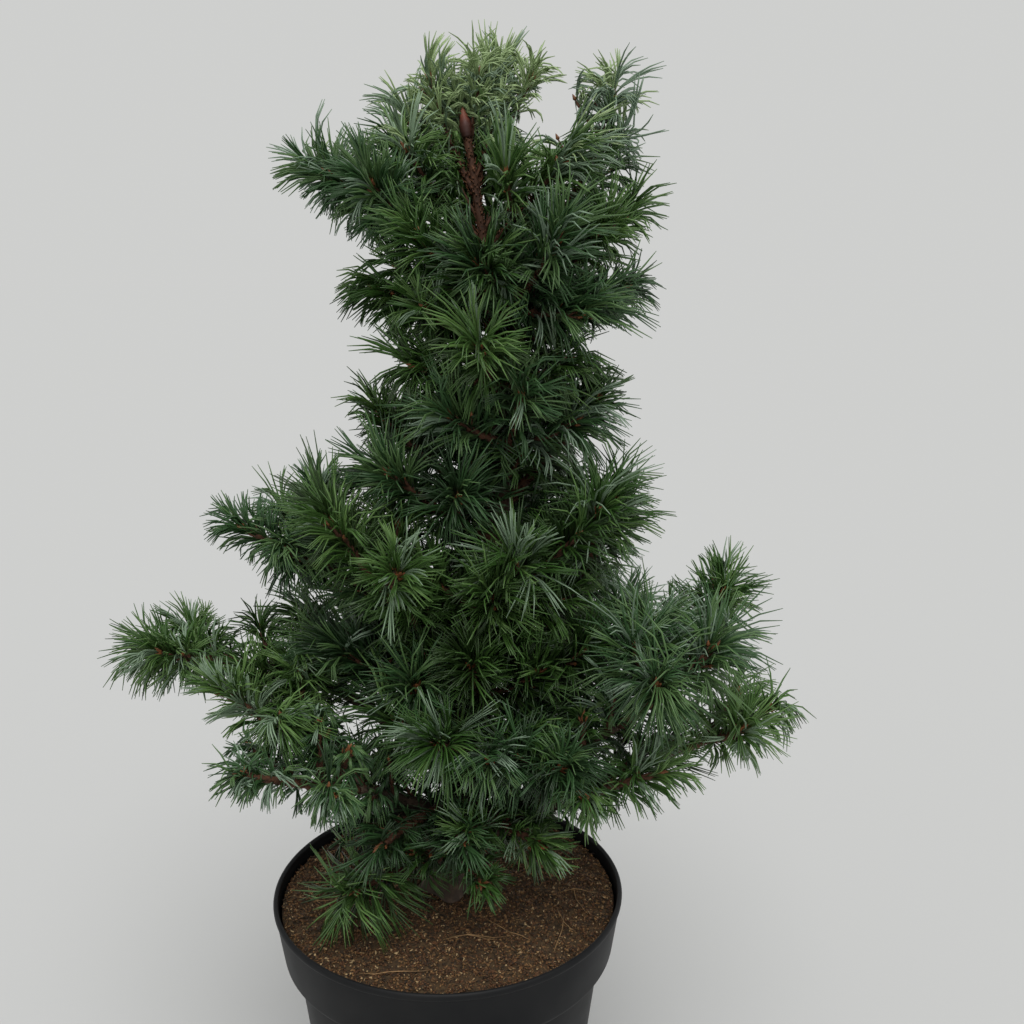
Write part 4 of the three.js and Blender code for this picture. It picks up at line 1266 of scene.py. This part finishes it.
# Needles.
BUNDLE = 5
FEW_RINGS = np.array([0.0, 0.34, 0.68, 1.0]), np.array([0.5, 1.0, 0.95, 0.34])
MORE_RINGS = np.array([0.0, 0.26, 0.52, 0.78, 1.0]), np.array([0.5, 1.0, 1.0, 0.85, 0.3])
FOOT_SPREAD, TIP_SPREAD, OLD_SPREAD = 70, 25, 82
LEAVES_AT, ARCHES_TO = (0.38, 0.7), (0.96, 1.52)
NEEDLE_LIFT, SAG, SWEEP = 0.24, (0.05, 0.75), 0.2
BUNDLE_STRAY, TIGHT, LOOSE, TIGHT_SHARE = 0.13, 0.05, 0.13, 0.4
BOW, WAVE = 2.6, 0.5
VIGOUR, OPENNESS, DENSITY = (0.82, 1.12), (0.78, 1.22), (0.8, 1.2)
BUNDLE_LENGTHS, NEEDLE_LENGTHS, STRAY_AT_FOOT, STRAY_AT_TIP = (0.78, 1.1), (0.93, 1.03), 0.6, 2
BUNDLES_TO, LEAST_BUNDLES, BUNDLE_JITTER, BUNDLE_SHARES, BUNDLE_SEAT = 0.985, 4, 0.006, (0.02, 0.99), 0.6
SPACING_BY_ORDER, OLD_SPACING = (1, 1, 1.9, 1.2), 2.1
OLD_FROM, OLD_SIZE, SIZE_BY_ORDER = 0.45, 0.84, (1, 1, 0.86, 0.94)
RIM_CLEAR, SOIL_CLEAR = 227.5, 1.2
RISES_INSIDE_RIM, FALLS_OUTSIDE_RIM, RIM_FALL, HELD_OUTSIDE_RIM = (-28, -10), (6, 22), 30, 22
TRUNK_CLEAR, LINE_POINTS = 0.8, 9


class Habit(NamedTuple):
    """How the needles of a mass differ from the rest in length, spread, droop and number."""

    length: float = 1
    spread: float = 1
    sag: float = 1
    density: float = 1


HABITS = {
    "low_left_far": Habit(0.8, 1.5, 1, 1.6),
    "low_left_front": Habit(0.68, 1.1, 4.5),
    "low_left_side": Habit(0.86, 1.1, 1.2, 1.4),
    "low_right_far": Habit(0.92, 1.2, 1.7),
    "low_right_front": Habit(1.1, 1.05, 1.5),
    "low_right_up": Habit(0.78),
    "low_right_under": Habit(0.74, 1, 1.8),
    "mid_left": Habit(0.8, 1.15, 1.3, 1.2),
    "mid_right": Habit(1.08, 1.15),
    "waist_left": Habit(0.88, 1, 1.2),
    "waist_right": Habit(0.64),
    "upper_left_low": Habit(0.82, 1, 2),
    "upper_right_low": Habit(0.75, 1, 2),
    "upper_right": Habit(0.8, 1, 1.2),
    "top_left": Habit(0.88, 1.3, 1, 1.2),
    "top_left_up": Habit(0.86, 1.45, 1.4, 1.1),
    "top_right": Habit(0.86, 1.65, 1.1, 1.7),
    "crown_left": Habit(0.74, 1.35, 1.1, 1.5),
    "crown_right": Habit(0.74, 1.35, 1.1, 1.5),
    "pot_left": Habit(1.18, 1.1, 2, 1.2),
    "foot_front": Habit(0.58, 0.9, 0.1, 0.8),
    "foot_left": Habit(0.8, 1.1, 1.4, 0.8),
    "foot_right": Habit(0.62, 0.9, 0.6),
}


class Bundles(NamedTuple):
    """Bundles of five needles: where each sits, which way it points and is pulled, and its mass."""

    root: np.ndarray
    along: np.ndarray
    outward: np.ndarray
    spread: np.ndarray
    size: np.ndarray
    pull: np.ndarray
    cast: np.ndarray
    mass: np.ndarray


class Needles(NamedTuple):
    """Every needle as a curve: its start, bend and end, and how it bows and waves on its way."""

    start: np.ndarray
    bend: np.ndarray
    end: np.ndarray
    bow: np.ndarray
    wave: np.ndarray

    def points(self, shares):
        """The points at these shares, as an array of needles, shares and coordinates."""
        t = shares[None, :, None]
        *knots, bow, wave = (part[:, None] for part in self)
        return curve_point(t, *knots) + bow * np.sin(np.pi * t) + wave * np.sin(2 * np.pi * t)

    def chosen(self, which):
        return Needles(*(part[which] for part in self))


def bundles_on(twig, spacing, rng):
    """Bundles in a spiral up a twig: thick on its young part, thin on the old part behind."""
    vigour, openness, density = (rng.uniform(*span) for span in (VIGOUR, OPENNESS, DENSITY))
    habit = HABITS.get(twig.mass, Habit())
    step = spacing * SPACING_BY_ORDER[twig.order] / (density * habit.density)
    young_count = max(LEAST_BUNDLES, round(twig.length * (1 - twig.bare) / step))
    young = np.linspace(twig.bare, BUNDLES_TO, young_count)
    old_length = twig.length * twig.bare * (1 - OLD_FROM) if twig.order < 2 else 0
    old_count = round(old_length / (spacing * OLD_SPACING) * habit.density)
    old = np.linspace(twig.bare * OLD_FROM, twig.bare, old_count, endpoint=False)
    shares = np.concatenate([old, young])
    shares = np.clip(shares + rng.normal(0, BUNDLE_JITTER, len(shares)), *BUNDLE_SHARES)
    along = twig.line.tangent(shares)
    outward = outward_from(along, GOLDEN_ANGLE * np.arange(len(shares)) + rng.uniform(0, 2 * np.pi))
    root = twig.line.point(shares) + outward * twig.radius(shares)[:, None] * BUNDLE_SEAT
    zone = (shares - twig.bare) / (1 - twig.bare)
    spread = np.where(zone < 0, OLD_SPREAD, lerp(FOOT_SPREAD, TIP_SPREAD, zone)) * openness * habit.spread
    size = np.where(zone < 0, OLD_SIZE, 1.0) * SIZE_BY_ORDER[twig.order]
    size = size * vigour * habit.length
    sweep = rng.normal(0, SWEEP, 3) - UP * rng.uniform(*SAG) * habit.sag
    pull, cast = np.tile(sweep, (len(shares), 1)), np.full(len(shares), rng.random())
    mass = np.full(len(shares), MASS_NAMES.index(twig.mass))
    return Bundles(root, along, outward, np.radians(spread), size, pull, cast, mass)


def leader_growth():
    """The leader as a twig, for the needles that stand round its foot."""
    line, radius_at = leader_line()
    length = float(np.linalg.norm(line.end - line.start))
    return Twig(line, length, 0.0, float(radius_at(0)), float(radius_at(1)), "crown_left", 1)


def grown_needles(bundles, length, rng):
    """The needles of every bundle, and the number of the bundle that each belongs to."""
    count = len(bundles.root)
    one_each = (count, 1)
    along, outward, spread = bundles.along, bundles.outward, bundles.spread[:, None]
    first, second = spread * rng.uniform(*LEAVES_AT, one_each), spread * rng.uniform(*ARCHES_TO, one_each)
    leaves = along * np.cos(first) + outward * np.sin(first) + UP * NEEDLE_LIFT
    arches = along * np.cos(second) + outward * np.sin(second)
    arches = arches + rng.normal(0, BUNDLE_STRAY, (count, 3)) + bundles.pull
    across = unit(rng.normal(size=(count, 3)))
    bow, wave = across * rng.normal(0, BOW, one_each), across * rng.normal(0, WAVE, one_each)
    loose = np.where(rng.random(one_each) < TIGHT_SHARE, TIGHT, LOOSE)
    half = length / 2 * bundles.size * rng.uniform(*BUNDLE_LENGTHS, count)
    each = np.repeat(np.arange(count), BUNDLE)
    stray = rng.normal(size=(len(each), 3)) * loose[each]
    half = (half[each] * rng.uniform(*NEEDLE_LENGTHS, len(each)))[:, None]
    start = bundles.root[each]
    bend = start + unit(leaves[each] + stray * STRAY_AT_FOOT) * half
    end = bend + unit(arches[each] + stray * STRAY_AT_TIP) * half
    return Needles(start, bend, end, bow[each], wave[each]), each


def passed(value, low, high):
    """How far a value has gone from a low one to a high one, from 0 to 1."""
    return np.clip((value - low) / (high - low), 0, 1)


def lifted_over_pot(lines):
    """Needles that would enter the mulch or cut the rim rest on them instead."""
    x, y, z = lines[..., 0], lines[..., 1], lines[..., 2]
    r = np.hypot(x, y)
    bed = soil_height(x, y) + SOIL_CLEAR
    towards_rim = passed(r - POT_RIM, *RISES_INSIDE_RIM)
    past_rim = passed(r - POT_RIM, *FALLS_OUTSIDE_RIM)
    least = lerp(lerp(bed, RIM_CLEAR, towards_rim), RIM_CLEAR - RIM_FALL, past_rim)
    held = np.where(r < POT_RIM + HELD_OUTSIDE_RIM, np.maximum(z, least), z)
    return np.stack([x, y, held], axis=-1)


def is_outside_trunk(lines):
    z = lines[..., 2]
    centre = trunk_beside(z)
    apart = np.hypot(lines[..., 0] - centre[..., 0], lines[..., 1] - centre[..., 1])
    bark = trunk_radius(np.clip(trunk_share(z), 0, 1))
    is_clear = (apart > bark + TRUNK_CLEAR) | (z > TRUNK_TOP)
    return is_clear[:, 1:].all(axis=1)


# Openings: where the crown is thin enough to see the leader, or the sky, from the front.
LEADER_SHOWS_FROM, LEADER_SHOWS_ABOVE, LEADER_SHOWS, LEADER_MIDDLE = 732, 4, 5, 0.92
OPENING_EDGE = (0.35, 1.15)
SKY_OPENINGS = (  # middle and half width, then middle and half height
    (61, 6, 806, 9),
    (84, 12, 811, 22),
    (81, 12, 824, 9),
    (87, 4, 845, 12),
    (-28, 19, 853, 20),
    (-49, 15, 641, 7),
    (124, 24, 656, 7),
    (-172, 10, 474, 12),
    (-205, 24, 377, 9),
)


def seen_from_front(points, depth=0.0):
    """Where points appear from the front, on the upright plane at this depth, as x and z."""
    eye = np.array(CAMERA_PLACE) / MM
    reach = (depth - eye[1]) / (points[..., 1] - eye[1])
    return eye[0] + (points[..., 0] - eye[0]) * reach, eye[2] + (points[..., 2] - eye[2]) * reach


def hides_leader(points):
    """Whether a needle stands right in front of the bare upper part of the leader."""
    depth = trunk_point(LEADER_MIDDLE)[1]
    x, z = seen_from_front(points, depth)
    is_near = np.abs(x - trunk_beside(z)[..., 0]) < LEADER_SHOWS
    is_high = (z > LEADER_SHOWS_FROM) & (z < TRUNK_TOP + LEADER_RISE + LEADER_SHOWS_ABOVE)
    return (is_near & is_high & (points[..., 1] < depth)).any(axis=1)


def fills_opening(points, rng):
    """Whether a needle stands in an opening, whose edge is as ragged as the needles round it."""
    x, z = seen_from_front(points)
    edge = rng.uniform(*OPENING_EDGE, (len(points), 1))
    inside = [((x - cx) / w) ** 2 + ((z - cz) / h) ** 2 < edge for cx, w, cz, h in SKY_OPENINGS]
    return np.any(inside, axis=0).any(axis=1)


def needle_form(lines, girth, radius):
    """Three-sided needles, closed at both ends."""
    count, rings, _ = lines.shape
    side, top = axes_across(lines)
    around = (np.arange(3) * 2 * np.pi / 3)[:, None]
    out = np.cos(around) * side[:, :, None] + np.sin(around) * top[:, :, None]
    corners = lines[:, :, None] + out * (girth * radius)[None, :, None, None]
    last = 3 * (rings - 1)
    faces = np.concatenate([[[0, 2, 1]], [[last, last + 1, last + 2]], faces_round(rings, 3)])
    return corners.reshape(-1, 3), repeated(faces, count, 3 * rings)


# Tones: in painted shade, as it is, painted light with a fresh yellower tint, the pale bloom of the inner
# faces with a painted highlight, or painted sunlight.
NEEDLE_ROUGHNESS, NEEDLE_SHINE = 0.43, 0.48
FRESH_AND_LIT, BLOOM_AND_HIGHLIGHT, SUNLIT = (0.2, 0.3, 0.1), (0.42, 0.54, 0.42), (0.5, 0.64, 0.32)
TONES = {  # each with the rings of its needles, and how its plain colour comes from the family's
    "deep": (FEW_RINGS, lambda colour: shade(colour, 0.45)),
    "mid": (FEW_RINGS, lambda colour: colour),
    "bright": (FEW_RINGS, lambda colour: blended(shade(colour, 1.2), FRESH_AND_LIT, 0.25)),
    "bloom": (MORE_RINGS, lambda colour: blended(colour, BLOOM_AND_HIGHLIGHT, 0.4)),
    "crown": (MORE_RINGS, lambda colour: blended(colour, SUNLIT, 0.6)),
}
FOOT_HEIGHTS, UPPER_HEIGHTS, CROWN_HEIGHTS, OUTER_REACH = (240, 330), (560, 800), (765, 815), (50, 160)
# Shares of painted shade, which thins upwards and outwards, and of painted light and highlight, which grow
# there and at the crown.
DEEP_SHARE, DEEP_LESS_UP, DEEP_LESS_OUT = 0.44, 0.7, 0.6
BLOOM_AND_HIGHLIGHT_SHARE, BLOOM_AND_HIGHLIGHT_UP, BLOOM_AND_HIGHLIGHT_OUT, BLOOM_AND_HIGHLIGHT_LESS_AT_FOOT, BLOOM_AND_HIGHLIGHT_AT_TOP = 0.15, 0.05, 0.12, 0.5, 0.1
BRIGHT_SHARE, BRIGHT_UP, BRIGHT_OUT = 0.12, 0.14, 0.14
CROWN_SHARE, TWIG_LIKENESS = 0.62, 0.38
# Short bundles, the old needles on inner wood, are drawn into painted shade more often.
SHORT_SIZE, SHORT_DEEPER = OLD_SIZE * 0.7, 0.5


def dealt_tones(bundles, rng):
    """Each bundle's tone by name: painted light and highlight near the top and out on the tips, painted
    shade low down, inside and on short bundles, and alike on one twig.
    """
    z = bundles.root[:, 2]
    reach = passed(np.hypot(*(bundles.root - trunk_beside(z))[:, :2].T), *OUTER_REACH)
    foot, height, crown = 1 - passed(z, *FOOT_HEIGHTS), passed(z, *UPPER_HEIGHTS), passed(z, *CROWN_HEIGHTS)
    deep = DEEP_SHARE * (1 - DEEP_LESS_UP * height) * (1 - DEEP_LESS_OUT * reach) * (1 - crown)
    bloom = BLOOM_AND_HIGHLIGHT_SHARE + BLOOM_AND_HIGHLIGHT_UP * height + BLOOM_AND_HIGHLIGHT_OUT * reach
    bloom = bloom * (1 - BLOOM_AND_HIGHLIGHT_LESS_AT_FOOT * foot) + BLOOM_AND_HIGHLIGHT_AT_TOP * crown
    bright = BRIGHT_SHARE + BRIGHT_UP * height + BRIGHT_OUT * reach
    sunlit = CROWN_SHARE * crown
    draw = lerp(rng.random(len(z)), bundles.cast, TWIG_LIKENESS)
    draw = np.where(bundles.size < SHORT_SIZE, draw * SHORT_DEEPER, draw)
    lightest = [draw > 1 - sunlit, draw > 1 - sunlit - bloom, draw > 1 - sunlit - bloom - bright]
    return np.select([draw < deep, *lightest], ["deep", "crown", "bloom", "bright"], "mid")


class PINE_OT_needles(Operator):
    """Grow needles in bundles of five on every twig, in three greens of five tones each"""

    bl_idname = "pine.needles"
    bl_label = "Needles"

    def execute(self, context):
        settings = context.scene.pine_needles
        rng = np.random.default_rng(NEEDLE_SEED)
        twigs = [*grown_twigs(), leader_growth()]
        rows = zip(*(bundles_on(twig, settings.spacing, rng) for twig in twigs))
        bundles = Bundles(*(np.concatenate(row) for row in rows))
        needles, each = grown_needles(bundles, settings.length, rng)
        tone = dealt_tones(bundles, rng)[each]
        lines = lifted_over_pot(needles.points(np.linspace(0, 1, LINE_POINTS)))
        shown = is_outside_trunk(lines) & ~hides_leader(lines) & ~fills_opening(lines, rng)
        family = bundles.mass[each] % len(FAMILIES)
        for i, family_name in enumerate(FAMILIES):
            colour = tuple(getattr(settings, family_name))
            nodes = ["needles_" + name for name in MASS_NAMES[i :: len(FAMILIES)]]
            for tone_name, ((shares, girth), toned) in TONES.items():
                chosen = needles.chosen(shown & (family == i) & (tone == tone_name))
                form = needle_form(lifted_over_pot(chosen.points(shares)), girth, settings.radius)
                name = f"pine_{family_name}_{tone_name}"
                piece = joined_piece(name, [form])
                # deep carries painted shade, bright and crown carry painted light, and the bloom tone is
                # the real bloom with a painted highlight.
                finish = Finish(name, toned(colour), NEEDLE_ROUGHNESS)
                finish.shine(NEEDLE_SHINE)
                finish_piece(piece, finish.material, "needles_" + family_name, *nodes)
                nodes = ()  # the first tone alone stands for the family's masses
        return {"FINISHED"}


# Registration.
class PINE_PT_panel(Panel):
    """Lists the plant's parts"""

    bl_label = "White Pine"
    bl_idname = "PINE_PT_panel"
    bl_space_type = "VIEW_3D"
    bl_region_type = "UI"
    bl_category = "White Pine"

    def draw(self, context):
        for operator in OPERATORS:
            self.layout.operator(operator.bl_idname)


SETTINGS = {
    "pine_stage": PineStageSettings,
    "pine_pot": PinePotSettings,
    "pine_mulch": PineMulchSettings,
    "pine_bark": PineBarkSettings,
    "pine_needles": PineNeedleSettings,
}
OPERATORS = (
    PINE_OT_stage,
    PINE_OT_pot,
    PINE_OT_mulch,
    PINE_OT_trunk,
    PINE_OT_boughs,
    PINE_OT_twigs,
    PINE_OT_buds,
    PINE_OT_needles,
)
CLASSES = (*SETTINGS.values(), *OPERATORS, PINE_PT_panel)


def register():
    for cls in CLASSES:
        bpy.utils.register_class(cls)
    for name, cls in SETTINGS.items():
        setattr(Scene, name, PointerProperty(type=cls))


def unregister():
    for name in SETTINGS:
        delattr(Scene, name)
    for cls in reversed(CLASSES):
        bpy.utils.unregister_class(cls)


def main():
    register()
    for operator in OPERATORS:
        getattr(bpy.ops.pine, operator.bl_idname.split(".")[1])()


if __name__ == "__main__":
    main()
